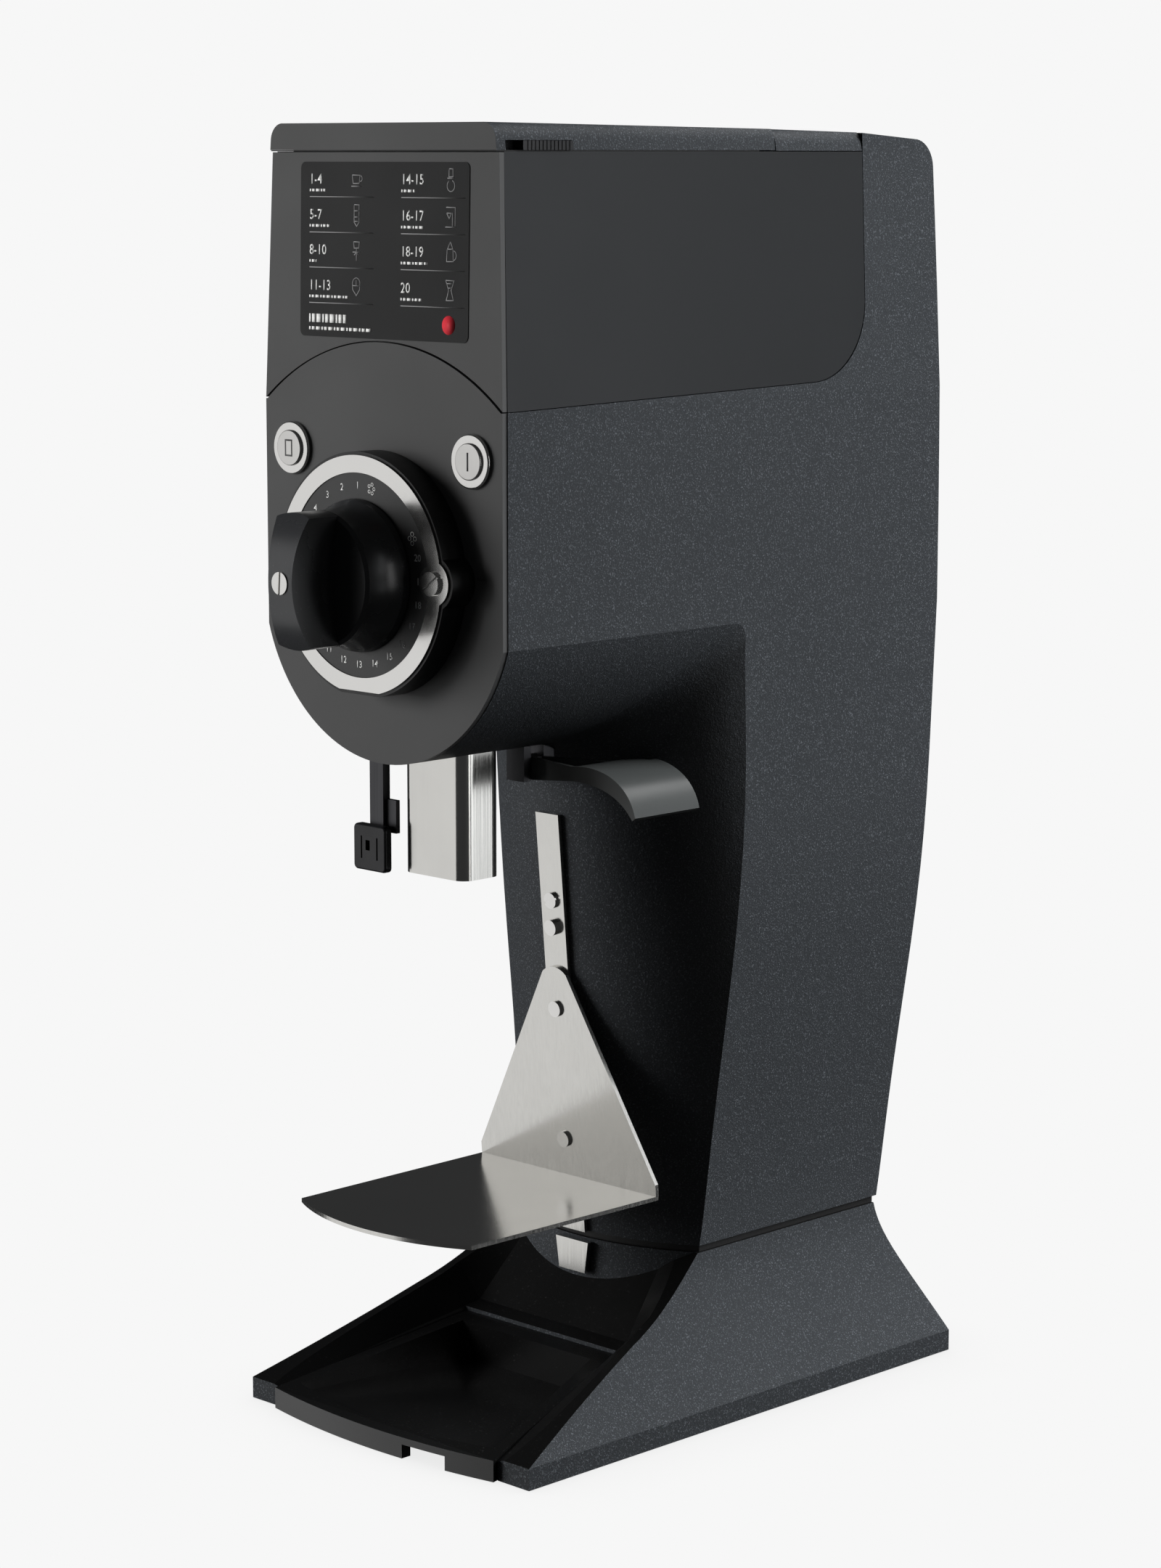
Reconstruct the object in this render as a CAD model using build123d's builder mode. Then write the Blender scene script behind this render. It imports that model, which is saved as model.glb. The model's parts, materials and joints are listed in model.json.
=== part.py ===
"""Shop coffee grinder: tall cast housing on a flared base, with hopper, dial, spout and bag shelf.

Millimetres, +Z up, front towards -Y. The origin is on the standing surface, at the centre of
the whole outline. Each sub-part has its own function and is written as one STEP file.
"""
import os
from math import atan2, cos, degrees, hypot, radians, sin

from build123d import *

os.makedirs("parts", exist_ok=True)

# ---- driving dimensions -------------------------------------------------------------------
# housing casting
body_half = 81.0            # half width of the head
waist_half = 66.0           # half width of the column where it meets the base
top_half = 76.2             # half width at the very top
rear_y = 183.0              # furthest back point of the casting
neck_z = 81.0               # underside of the column
under_z = 390.0             # where the side walls of the head turn under, with a slight crease
head_r_z = 415.2            # centre of the rounded underside of the head
head_r = hypot(body_half, head_r_z - under_z)
head_corner_r = 28.0        # concave corner between column front and head
seam_z = 497.4              # top of the head at the front, where the hopper starts
seam_rear_z = 502.6         # and further back
tower_y = 126.6             # front of the tower behind the hopper
floor_z = 345.0             # flat floor inside the head

# front plate and hopper
face_y = -122.2             # front face of the dark front plate
plate_t = 3.0
head_front_y = face_y + plate_t
arch_z = 526.4              # top of the arched joint between front plate and hopper panel
arch_foot_x = 79.6
lid_z = 613.0               # underside of the lid
top_z = 626.0
lean = 0.0215               # backward lean of the hopper front, mm per mm of height
hopper_wall = 3.0
lid_rear_y = 63.0
lip_half = 69.5             # rim under the lid that sits inside the hopper
lip_front = 112.0
throat_y = -106.0           # middle of the throat that drops the beans to the burrs
throat_w = 31.0             # its clear width and depth
throat_d = 17.0
throat_wall = 1.5
hinge_y = 60.5
hinge_z = 621.6
hinge_r = 1.1

# base
base_half = 98.1
base_front_y = -124.2
base_rear_y = 180.6
base_z = 0.5                # the skirt stops just short of the surface
foot_t = 1.5                # the pads under the bottom plate
band_z = 11.1               # top of the plain band round the base
deck_z = 77.5               # flat top that carries the column
tray_z = 3.0                # tray slides on the bottom plate
tray_slope = 0.2066         # rise of the tray rim towards the back, mm per mm

# grinding group, all on one axis
axis_z = 420.0
drum_r = 57.0
drum_t = 14.0
trim_r = 55.5
ear_x = 50.2
knob_back_y = -137.8
knob_rim_r = 31.5
knob_rim_y = -159.8
knob_tip_y = -184.6
shaft_r = 8.0

# buttons
button_x = 61.2
button_z = 475.0
bezel_r = 12.5
cap_r = 8.4

# spout, rail and shelf
spout_half = 21.3
spout_front_y = -91.2
spout_rear_y = -65.8
spout_z = 272.7
sheet_t = 2.0
rail_low_y = 3.8            # front surface of the strip at its lower end
rail_low_z = 80.6
rail_top_y = -15.0          # and at its upper end
rail_top_z = 294.0
shelf_z = 110.0
shelf_half = 61.2

rail_slope = (rail_low_y - rail_top_y) / (rail_top_z - rail_low_z)
rail_angle = degrees(atan2(rail_low_y - rail_top_y, rail_top_z - rail_low_z))


def front_plane(y):
    """Plane facing the front at depth y: local x is +X, local y is +Z, extrusions go to -Y."""
    return Plane.XZ.offset(-y)


def axis_plane(y):
    """Same as front_plane, centred on the grinding axis."""
    return Plane(origin=(0, y, axis_z), x_dir=(1, 0, 0), z_dir=(0, -1, 0))


def rail_plane(z, ahead):
    """Plane on the front of the support strip at height z, moved forward by ahead."""
    y = rail_low_y - rail_slope * (z - rail_low_z)
    out = Vector(0, -cos(radians(rail_angle)), -sin(radians(rail_angle)))
    origin = Vector(0, y, z) + out * ahead
    return Plane(origin=origin, x_dir=(1, 0, 0), z_dir=out)


def hopper_plane(z, ahead):
    """Plane on the leaning front of the hopper shell at height z, moved forward by ahead."""
    y = head_front_y + lean * (z - seam_z)
    out = Vector(0, -1, lean).normalized()
    return Plane(origin=Vector(0, y, z) + out * ahead, x_dir=(1, 0, 0), z_dir=out)


def finish(builder, name):
    """Label the piece and write its STEP file."""
    builder.part.label = name
    export_step(builder.part, f"parts/{name}.step")


def polygon_face(points):
    """Flat face through the points, in the local plane."""
    with BuildLine() as edge:
        Polyline(*points, close=True)
    return make_face(edge.line.edges(), mode=Mode.PRIVATE)


def half_width(z):
    """Half width of the column at height z: a soft S from waist to head."""
    t = min(max((z - neck_z) / (300.0 - neck_z), 0.0), 1.0)
    return waist_half + (body_half - waist_half) * sin(radians(90.0 * t)) ** 2


def nose_y(z):
    """Foremost point of the column front at height z, just behind the support strip."""
    return rail_low_y + sheet_t + 0.1 - rail_slope * (z - rail_low_z)


def side_front_y(z):
    """Where the side faces of the column end at the front, at height z."""
    t = min(max((z - neck_z) / (300.0 - neck_z), 0.0), 1.0)
    return 25.2 + 14.8 * t ** 0.6


def column_rear_y(z):
    """Back face of the column at height z."""
    return 159.0 + 24.0 * ((z - neck_z) / (under_z - neck_z)) ** 0.7


# ---- outlines of the casting --------------------------------------------------------------
column_heights = [neck_z, 115, 150, 190, 245, 300, 345, under_z]


def side_outline():
    """Side view of head and tower, with the step where the hopper sits."""
    with BuildLine() as edge:
        Polyline((rear_y, under_z), (head_front_y, under_z), (head_front_y, seam_z),
                 (88, seam_rear_z))
        ThreePointArc((88, seam_rear_z), (115.3, 513.9), (tower_y, 541.2))
        Polyline((tower_y, 541.2), (tower_y, 622.0), (168, 619.0))
        ThreePointArc((168, 619.0), (176.5, 614.5), (180, 606.0))
        Spline((180, 606), (rear_y - 0.4, 500), (rear_y, under_z))
    return make_face(edge.line.edges(), mode=Mode.PRIVATE)


def front_outline():
    """Front view of head and tower."""
    return polygon_face([(body_half, under_z - 1), (body_half, seam_z), (top_half, 622.5),
                         (-top_half, 622.5), (-body_half, seam_z), (-body_half, under_z - 1)])


def column_plan(z):
    """Plan of the column at height z: rounded front, straight sides and back."""
    half = half_width(z)
    side_y = side_front_y(z)
    back_y = column_rear_y(z)
    with BuildLine() as edge:
        ThreePointArc((-half, side_y), (0, nose_y(z)), (half, side_y))
        Polyline((half, side_y), (half, back_y), (-half, back_y), (-half, side_y))
    return make_face(edge.line.edges(), mode=Mode.PRIVATE)


# ---- housing casting ----------------------------------------------------------------------
def head_and_tower():
    """Head and tower, from side and front outlines."""
    side = side_outline()
    front = front_outline()
    with BuildPart() as solid:
        with BuildSketch(Plane.YZ):
            add(side)
        extrude(amount=90, both=True)
        with BuildSketch(Plane.XZ):
            add(front)
        extrude(amount=200, both=True, mode=Mode.INTERSECT)
    return solid.part


def column():
    """Column from the neck up to the underside of the head."""
    sections = [(z, column_plan(z)) for z in column_heights]
    with BuildPart() as solid:
        for z, section in sections:
            with BuildSketch(Plane.XY.offset(z)):
                add(section)
        loft()
    return solid.part


def column_hollow():
    """Inside of column, rear head and tower."""
    side = polygon_face([(50, 345), (44, 300), (42, 200), (38, 70), (152, 70), (159, 150),
                         (170, 270), (175.5, 390), (176, 500), (174, 600), (131.5, 605),
                         (131.5, 536), (120, 508), (90, 496), (50, 492)])
    front = polygon_face([(60.5, 70), (61, 110), (64, 150), (70.5, 214), (74.5, 260), (76, 300),
                          (76, 490), (71, 605), (-71, 605), (-76, 490), (-76, 300),
                          (-74.5, 260), (-70.5, 214), (-64, 150), (-61, 110), (-60.5, 70)])
    with BuildPart() as solid:
        with BuildSketch(Plane.YZ):
            add(side)
        extrude(amount=90, both=True)
        with BuildSketch(Plane.XZ):
            add(front)
        extrude(amount=200, both=True, mode=Mode.INTERSECT)
    return solid.part


def housing_casting():
    body = head_and_tower()
    stem = column()
    hollow = column_hollow()
    head_hollow = polygon_face([(40, floor_z), (70, 384), (76, 402), (76, 492), (-76, 492),
                                (-76, 402), (-70, 384), (-40, floor_z)])
    nose_hollow = polygon_face([(18, 70), (5, 300), (5, 334), (60, 334), (60, 70)])
    with BuildPart() as casting:
        add(body)
        add(stem)
        with BuildSketch(front_plane(head_front_y)):
            with Locations((0, head_r_z)):
                Circle(head_r)
            with Locations((0, under_z + 100)):
                Rectangle(300, 200, mode=Mode.SUBTRACT)
        extrude(amount=-180)
        # the large concave corner between the column front and the underside of the head
        low_edges = casting.edges().filter_by_position(Axis.Z, 325, under_z - 2)
        corner = low_edges.filter_by(GeomType.BSPLINE).sort_by(Axis.Y)[0]
        fillet(corner, head_corner_r)
        add(hollow, mode=Mode.SUBTRACT)
        with BuildSketch(front_plane(head_front_y)):
            add(head_hollow)
        extrude(amount=-175, mode=Mode.SUBTRACT)
        with BuildSketch(Plane.YZ):
            add(nose_hollow)
        extrude(amount=40, both=True, mode=Mode.SUBTRACT)
        # bean inlet in the roof, open to the front, then spout, knocker and lever openings below
        with BuildSketch(Plane.XY.offset(485)):
            with Locations((0, throat_y - 3)):
                Rectangle(throat_w + 9, throat_d + 13)
        extrude(amount=18, mode=Mode.SUBTRACT)
        with BuildSketch(Plane.XY.offset(320)):
            with Locations((0, (spout_front_y + spout_rear_y) / 2)):
                Rectangle(2 * spout_half + 1.6, spout_rear_y - spout_front_y + 1.6)
            with Locations((-35.5, -93.8)):
                Rectangle(21, 7.5)
            with Locations((10, -37.5)):
                Rectangle(17, 22)
        extrude(amount=30, mode=Mode.SUBTRACT)
        # recess and opening for the rear cover
        with BuildSketch(front_plane(176.6)):
            with Locations((0, 400)):
                RectangleRounded(124, 184, 8)
        extrude(amount=-12, mode=Mode.SUBTRACT)
        with BuildSketch(front_plane(165)):
            with Locations((0, 400)):
                RectangleRounded(108, 168, 6)
        extrude(amount=-15, mode=Mode.SUBTRACT)
    finish(casting, "housing_casting")


def rear_cover():
    with BuildPart() as cover:
        with BuildSketch(front_plane(178.6)):
            with Locations((0, 400)):
                RectangleRounded(123.2, 183.2, 7.6)
        extrude(amount=2)
        with BuildSketch(front_plane(180)):
            with Locations((0, 425)):
                with GridLocations(26, 8, 4, 11):
                    SlotOverall(20, 3)
            with Locations((-30, 336)):
                RectangleRounded(28.4, 20.4, 2)
            with Locations((26, 336)):
                RectangleRounded(20.4, 13.4, 1)
        extrude(amount=6, mode=Mode.SUBTRACT)
    finish(cover, "rear_cover")


def power_inlet():
    with BuildPart() as inlet:
        with BuildSketch(front_plane(178.6)):
            with Locations((-30, 336)):
                RectangleRounded(36, 28, 3)
        extrude(amount=-6.5)
        with BuildSketch(front_plane(178.6)):
            with Locations((-30, 336)):
                RectangleRounded(28, 20, 2)
        extrude(amount=22)
        with BuildSketch(front_plane(186)):
            with Locations((-30, 336)):
                RectangleRounded(23, 15, 2)
        extrude(amount=22, mode=Mode.SUBTRACT)
        with BuildSketch(front_plane(164)):
            with Locations((-30, 339), (-37, 333), (-23, 333)):
                Rectangle(2, 5)
        extrude(amount=-8)
    finish(inlet, "power_inlet")


def power_switch():
    rocker = polygon_face([(180, 330.5), (184.6, 330.5), (182, 341.5), (180, 341.5)])
    with BuildPart() as switch:
        with BuildSketch(front_plane(178.6)):
            with Locations((26, 336)):
                RectangleRounded(25, 18, 2)
        extrude(amount=-2.5)
        with BuildSketch(front_plane(178.6)):
            with Locations((26, 336)):
                RectangleRounded(20, 13, 1)
        extrude(amount=20)
        with BuildSketch(Plane.YZ.offset(18)):
            add(rocker)
        extrude(amount=16)
    finish(switch, "power_switch")


# ---- base ---------------------------------------------------------------------------------
def skirt_x(z):
    """Half width of the flared skirt at height z."""
    t = min(max((z - band_z) / (deck_z - band_z), 0.0), 1.0)
    return waist_half + (base_half - waist_half) * (1.0 - t) ** 1.6


def base_front_view():
    heights = [band_z, 24, 38, 52, 66, deck_z]
    with BuildLine() as edge:
        Polyline((-base_half, band_z), (-base_half, base_z), (base_half, base_z),
                 (base_half, band_z))
        Spline(*[(skirt_x(z), z) for z in heights])
        Line((waist_half, deck_z), (-waist_half, deck_z))
        Spline(*[(-skirt_x(z), z) for z in reversed(heights)])
    return make_face(edge.line.edges(), mode=Mode.PRIVATE)


def base_side_view():
    with BuildLine() as edge:
        Polyline((base_rear_y, base_z), (base_front_y, base_z), (base_front_y, band_z),
                 (-31.8, 45.2))
        Spline((-31.8, 45.2), (-11.8, 53.2), (10, 66), (24, deck_z))
        Line((24, deck_z), (157, deck_z))
        Spline((157, deck_z), (161.5, 62), (170, 42), (177, 24), (base_rear_y, band_z))
        Line((base_rear_y, band_z), (base_rear_y, base_z))
    return make_face(edge.line.edges(), mode=Mode.PRIVATE)


def valley_section(low_half, low, high_half, high):
    """Section of the dark valley between the two ridges."""
    return polygon_face([(-low_half, low), (low_half, low), (high_half, high), (high_half, 95),
                         (-high_half, 95), (-high_half, high)])


def tray_plan(gap):
    """Plan of the grounds tray, grown by gap."""
    with BuildLine() as edge:
        ThreePointArc((-tray_half(gap), -127.3), (0, -135.3), (tray_half(gap), -127.3))
        Polyline((tray_half(gap), -127.3), (53 + gap, -20.8 + gap), (-53 - gap, -20.8 + gap),
                 (-tray_half(gap), -127.3))
    return make_face(edge.line.edges(), mode=Mode.PRIVATE)


def tray_half(gap):
    return 77.6 + gap


def neck_plan(depth, z):
    """Plan of the neck under the column, smaller all round by depth."""
    half = waist_half - depth
    with BuildLine() as edge:
        ThreePointArc((-half, 25.2 + depth), (0, 5.6 + depth), (half, 25.2 + depth))
        Polyline((half, 25.2 + depth), (half, z), (-half, z), (-half, 25.2 + depth))
    return make_face(edge.line.edges(), mode=Mode.PRIVATE)


def base_valley():
    near = valley_section(75, 8.5, 94.5, 12.4)
    far = valley_section(52, 37, 68.5, 54)
    end = valley_section(46, 77, 65, 78.5)
    with BuildPart() as valley:
        with BuildSketch(front_plane(-128)):
            add(near)
        with BuildSketch(front_plane(-11.8)):
            add(far)
        loft()
        with BuildSketch(front_plane(-11.8)):
            add(far)
        with BuildSketch(front_plane(24)):
            add(end)
        loft()
    return valley.part


def base_casting():
    front = base_front_view()
    side = base_side_view()
    valley = base_valley()
    pocket = tray_plan(0.4)
    neck = neck_plan(0.2, 60)
    under = polygon_face([(-20, 0), (168, 0), (160, 28), (149, 71), (32, 71), (-2, 32), (-20, 28)])
    under_front = polygon_face([(92, 0), (80, 26), (61, 71), (-61, 71), (-80, 26), (-92, 0)])
    with BuildPart() as hollow:
        with BuildSketch(Plane.YZ):
            add(under)
        extrude(amount=100, both=True)
        with BuildSketch(Plane.XZ):
            add(under_front)
        extrude(amount=200, both=True, mode=Mode.INTERSECT)
    with BuildPart() as casting:
        with BuildSketch(Plane.XZ):
            add(front)
        extrude(amount=200, both=True)
        with BuildSketch(Plane.YZ):
            add(side)
        extrude(amount=100, both=True, mode=Mode.INTERSECT)
        add(valley, mode=Mode.SUBTRACT)
        with BuildSketch(Plane.XY.offset(20)):
            add(neck)
        extrude(amount=deck_z - 20)
        add(hollow.part, mode=Mode.SUBTRACT)
        with BuildSketch():
            add(pocket)
        extrude(amount=90, mode=Mode.SUBTRACT)
        with BuildSketch(Plane.XY.offset(60)):
            with Locations((0, 90)):
                RectangleRounded(70, 70, 12)
        extrude(amount=30, mode=Mode.SUBTRACT)
        # seat for the bottom plate
        with BuildSketch():
            with Locations((0, (base_front_y + base_rear_y) / 2)):
                RectangleRounded(184, 293, 5)
        extrude(amount=tray_z, mode=Mode.SUBTRACT)
    finish(casting, "base_casting")


def base_bottom_plate():
    with BuildPart() as plate:
        with BuildSketch(Plane.XY.offset(foot_t)):
            with Locations((0, (base_front_y + base_rear_y) / 2)):
                RectangleRounded(183.4, 292.4, 4.7)
            with Locations((0, 80)):
                with GridLocations(10, 30, 9, 2):
                    SlotOverall(24, 4, rotation=90, mode=Mode.SUBTRACT)
        extrude(amount=tray_z - foot_t)
    finish(plate, "base_bottom_plate")


def rubber_feet():
    with BuildPart() as feet:
        with BuildSketch():
            with Locations((0, (base_front_y + base_rear_y) / 2)):
                with GridLocations(150, 250, 2, 2):
                    Circle(13)
        extrude(amount=foot_t)
    finish(feet, "rubber_feet")


def neck_gasket():
    ring = neck_plan(1.6, 157.5)
    with BuildPart() as gasket:
        with BuildSketch(Plane.XY.offset(deck_z)):
            add(ring)
        extrude(amount=neck_z - deck_z)
        with BuildSketch(Plane.XY.offset(deck_z)):
            with Locations((0, 88)):
                RectangleRounded(104, 116, 10)
        extrude(amount=10, mode=Mode.SUBTRACT)
    finish(gasket, "neck_gasket")


def tray_rim_z(y):
    """Height of the tray's rim: level at the front, then rising with the valley."""
    return 11.0 + tray_slope * max(y + 127.3, 0.0)


def tray_scoop():
    """Room in the tray for spilt grounds, deeper towards the back."""
    with BuildLine() as edge:
        ThreePointArc((-68.6, -118), (0, -126), (68.6, -118))
        Polyline((68.6, -118), (45.5, -30), (-45.5, -30), (-68.6, -118))
    plan = make_face(edge.line.edges(), mode=Mode.PRIVATE)
    below = polygon_face([(-140, 0), (-10, 0), (-10, 13.4), (-140, 7.4)])
    with BuildPart() as scoop:
        with BuildSketch():
            add(plan)
        extrude(amount=60)
        with BuildSketch(Plane.YZ):
            add(below)
        extrude(amount=100, both=True, mode=Mode.SUBTRACT)
    return scoop.part


def tray_underside():
    """Room under the floor of the tray, so that it is a shell."""
    plan = polygon_face([(-62, -129), (62, -129), (46, -32), (-46, -32)])
    above = polygon_face([(-140, 5.4), (-10, 11.4), (-10, 70), (-140, 70)])
    with BuildPart() as room:
        with BuildSketch():
            add(plan)
        extrude(amount=60)
        with BuildSketch(Plane.YZ):
            add(above)
        extrude(amount=100, both=True, mode=Mode.SUBTRACT)
    return room.part


def grounds_tray():
    outline = tray_plan(0)
    above = polygon_face([(-140, tray_rim_z(-140)), (-127.3, tray_rim_z(-127.3)),
                          (-10, tray_rim_z(-10)), (-10, 90), (-140, 90)])
    scoop = tray_scoop()
    room = tray_underside()
    with BuildPart() as tray:
        with BuildSketch(Plane.XY.offset(base_z)):
            add(outline)
        extrude(amount=40)
        with BuildSketch(Plane.YZ):
            add(above)
        extrude(amount=100, both=True, mode=Mode.SUBTRACT)
        # behind the front apron the tray rides on the bottom plate
        with BuildSketch():
            with Locations((0, -18.6)):
                Rectangle(200, 200)
        extrude(amount=tray_z, mode=Mode.SUBTRACT)
        add(scoop, mode=Mode.SUBTRACT)
        add(room, mode=Mode.SUBTRACT)
        # finger notch in the apron
        with BuildSketch():
            with Locations((36, -133)):
                Rectangle(27, 14)
        extrude(amount=7.5, mode=Mode.SUBTRACT)
    finish(tray, "grounds_tray")


# ---- front plate --------------------------------------------------------------------------
def front_plate():
    half = body_half - 0.4
    with BuildLine() as edge:
        ThreePointArc((half, under_z), (0, head_r_z - head_r), (-half, under_z))
        Polyline((-half, under_z), (-half, seam_z), (-arch_foot_x, seam_z))
        ThreePointArc((-arch_foot_x, seam_z), (0, arch_z), (arch_foot_x, seam_z))
        Polyline((arch_foot_x, seam_z), (half, seam_z), (half, under_z))
    outline = make_face(edge.line.edges(), mode=Mode.PRIVATE)
    with BuildPart() as plate:
        with BuildSketch(front_plane(head_front_y)):
            add(outline)
            with Locations((0, axis_z)):
                Circle(8.5, mode=Mode.SUBTRACT)
            with Locations((-button_x, button_z), (button_x, button_z)):
                Circle(9.6, mode=Mode.SUBTRACT)
        extrude(amount=plate_t)
        with BuildSketch(front_plane(face_y)):
            with Locations((67, 422)):
                Rectangle(6, 1.4)
        extrude(amount=-0.5, mode=Mode.SUBTRACT)
    finish(plate, "front_plate")


# ---- hopper -------------------------------------------------------------------------------
def hopper_outline(inset, gap, top):
    """Side view of the hopper: walls moved in by inset, floor raised by gap."""
    low = head_front_y + inset
    with BuildLine() as edge:
        Line((low + lean * gap, seam_z + gap), (88 - inset, seam_rear_z + gap))
        ThreePointArc((88 - inset, seam_rear_z + gap), (115 - inset * 0.8, 514.2 + gap),
                      (tower_y - 0.4 - inset, 541.2 + gap))
        Polyline((tower_y - 0.4 - inset, 541.2 + gap), (tower_y - 0.4 - inset, top),
                 (low + lean * (top - seam_z), top), (low + lean * gap, seam_z + gap))
    return make_face(edge.line.edges(), mode=Mode.PRIVATE)


def hopper_front_view(inset, top):
    edge_half = body_half - inset
    top_edge = body_half - (top - seam_z) * (body_half - top_half) / (622.5 - seam_z) - inset
    return polygon_face([(edge_half, seam_z - 1), (top_edge, top), (-top_edge, top),
                         (-edge_half, seam_z - 1)])


def hopper_shell():
    side = hopper_outline(0, 0.4, lid_z)
    front = hopper_front_view(0, lid_z)
    inner_side = hopper_outline(hopper_wall, 0.4 + hopper_wall, lid_z + 1)
    inner_front = hopper_front_view(hopper_wall, lid_z + 1)
    with BuildPart() as inner:
        with BuildSketch(Plane.YZ):
            add(inner_side)
        extrude(amount=90, both=True)
        with BuildSketch(Plane.XZ):
            add(inner_front)
        extrude(amount=200, both=True, mode=Mode.INTERSECT)
    with BuildPart() as shell:
        with BuildSketch(Plane.YZ):
            add(side)
        extrude(amount=90, both=True)
        with BuildSketch(Plane.XZ):
            add(front)
        extrude(amount=200, both=True, mode=Mode.INTERSECT)
        add(inner.part, mode=Mode.SUBTRACT)
        with BuildSketch(Plane.XY.offset(490)):
            with Locations((0, throat_y)):
                Rectangle(throat_w + 2 * throat_wall + 2, throat_d + 2 * throat_wall + 2)
        extrude(amount=20, mode=Mode.SUBTRACT)
    finish(shell, "hopper_shell")


def bean_funnel():
    with BuildPart() as funnel:
        with BuildSketch(Plane.XY.offset(508)):
            with Locations((0, throat_y)):
                Rectangle(throat_w + 2 * throat_wall, throat_d + 2 * throat_wall)
        with BuildSketch(Plane.XY.offset(585)):
            with Locations((0, 2)):
                Rectangle(148, 232)
        loft()
        with BuildSketch(Plane.XY.offset(493)):
            with Locations((0, throat_y)):
                Rectangle(throat_w + 2 * throat_wall, throat_d + 2 * throat_wall)
        extrude(amount=15)
        with BuildSketch(Plane.XY.offset(508)):
            with Locations((0, throat_y)):
                Rectangle(throat_w, throat_d)
        with BuildSketch(Plane.XY.offset(585)):
            with Locations((0, 2)):
                Rectangle(144, 228)
        loft(mode=Mode.SUBTRACT)
        with BuildSketch(Plane.XY.offset(493)):
            with Locations((0, throat_y)):
                Rectangle(throat_w, throat_d)
        extrude(amount=15, mode=Mode.SUBTRACT)
    finish(funnel, "bean_funnel")


def hopper_front_panel():
    tall = lid_z - seam_z
    top_edge = body_half - tall * (body_half - top_half) / (622.5 - seam_z)
    with BuildLine() as edge:
        ThreePointArc((-body_half + 0.3, 0.6), (0, arch_z - seam_z + 0.6), (body_half - 0.3, 0.6))
        Polyline((body_half - 0.3, 0.6), (top_edge, tall - 0.4), (-top_edge, tall - 0.4),
                 (-body_half + 0.3, 0.6))
    outline = make_face(edge.line.edges(), mode=Mode.PRIVATE)
    with BuildPart() as panel:
        with BuildSketch(hopper_plane(seam_z, 0)):
            add(outline)
        extrude(amount=2.9)
    finish(panel, "hopper_front_panel")


def grind_chart():
    middle = 568.0
    with BuildPart() as chart:
        with BuildSketch(hopper_plane(middle, 2.9)):
            with Locations((1, 0)):
                RectangleRounded(114, 80.5, 3)
        extrude(amount=0.3)
    finish(chart, "grind_chart")


def lid_section(half, low, high):
    """Front view of lid or bridge: leaning sides and rounded top edges."""
    with BuildSketch() as section:
        with BuildLine():
            Polyline((-half, low), (half, low), (half - 0.4, high - 8))
            ThreePointArc((half - 0.4, high - 8), (half - 2.9, high - 2.4), (half - 9, high))
            Line((half - 9, high), (9 - half, high))
            ThreePointArc((9 - half, high), (2.9 - half, high - 2.4), (0.4 - half, high - 8))
            Line((0.4 - half, high - 8), (-half, low))
        make_face()
    return section.sketch


def hopper_lid():
    outer = lid_section(76.4, lid_z + 0.6, top_z)
    above = polygon_face([(-124.8, top_z), (64, 623.6), (64, 640), (-124.8, 640)])
    with BuildPart() as lid:
        with BuildSketch(front_plane(lid_rear_y)):
            add(outer)
        extrude(amount=lid_rear_y + 121.3)
        with BuildSketch(Plane.YZ):
            add(above)
        extrude(amount=90, both=True, mode=Mode.SUBTRACT)
        with BuildSketch(Plane.XY.offset(lid_z)):
            with Locations((-1, (lid_rear_y - 121.3) / 2)):
                Rectangle(140, lid_rear_y + 121.3 - 8)
        extrude(amount=7.5, mode=Mode.SUBTRACT)
        with BuildSketch(Plane.XY.offset(lid_z)):
            with Locations((75, -94.5)):
                Rectangle(7.2, 42)
        extrude(amount=5, mode=Mode.SUBTRACT)
        # lip that hangs inside the hopper, at the front and along the sides
        with BuildSketch(Plane.XY.offset(lid_z - 4.5)):
            with Locations((-1, (20 - lip_front) / 2)):
                Rectangle(2 * lip_half, 20 + lip_front)
                Rectangle(2 * lip_half - 3, 20 + lip_front - 3, mode=Mode.SUBTRACT)
            with Locations((0, 30)):
                Rectangle(200, 40, mode=Mode.SUBTRACT)
        extrude(amount=13)
        # slots for the two fixed knuckles and the bore for the hinge pin
        with BuildSketch(Plane.XY.offset(lid_z)):
            with Locations((-44, 61), (44, 61)):
                Rectangle(8.8, 7)
        extrude(amount=20, mode=Mode.SUBTRACT)
        with BuildSketch(Plane.YZ):
            with Locations((hinge_y, hinge_z)):
                Circle(hinge_r + 0.05)
        extrude(amount=65, both=True, mode=Mode.SUBTRACT)
    finish(lid, "hopper_lid")


def lid_hinge_pin():
    with BuildPart() as pin:
        with BuildSketch(Plane.YZ):
            with Locations((hinge_y, hinge_z)):
                Circle(hinge_r)
        extrude(amount=64.5, both=True)
    finish(pin, "lid_hinge_pin")


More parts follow.
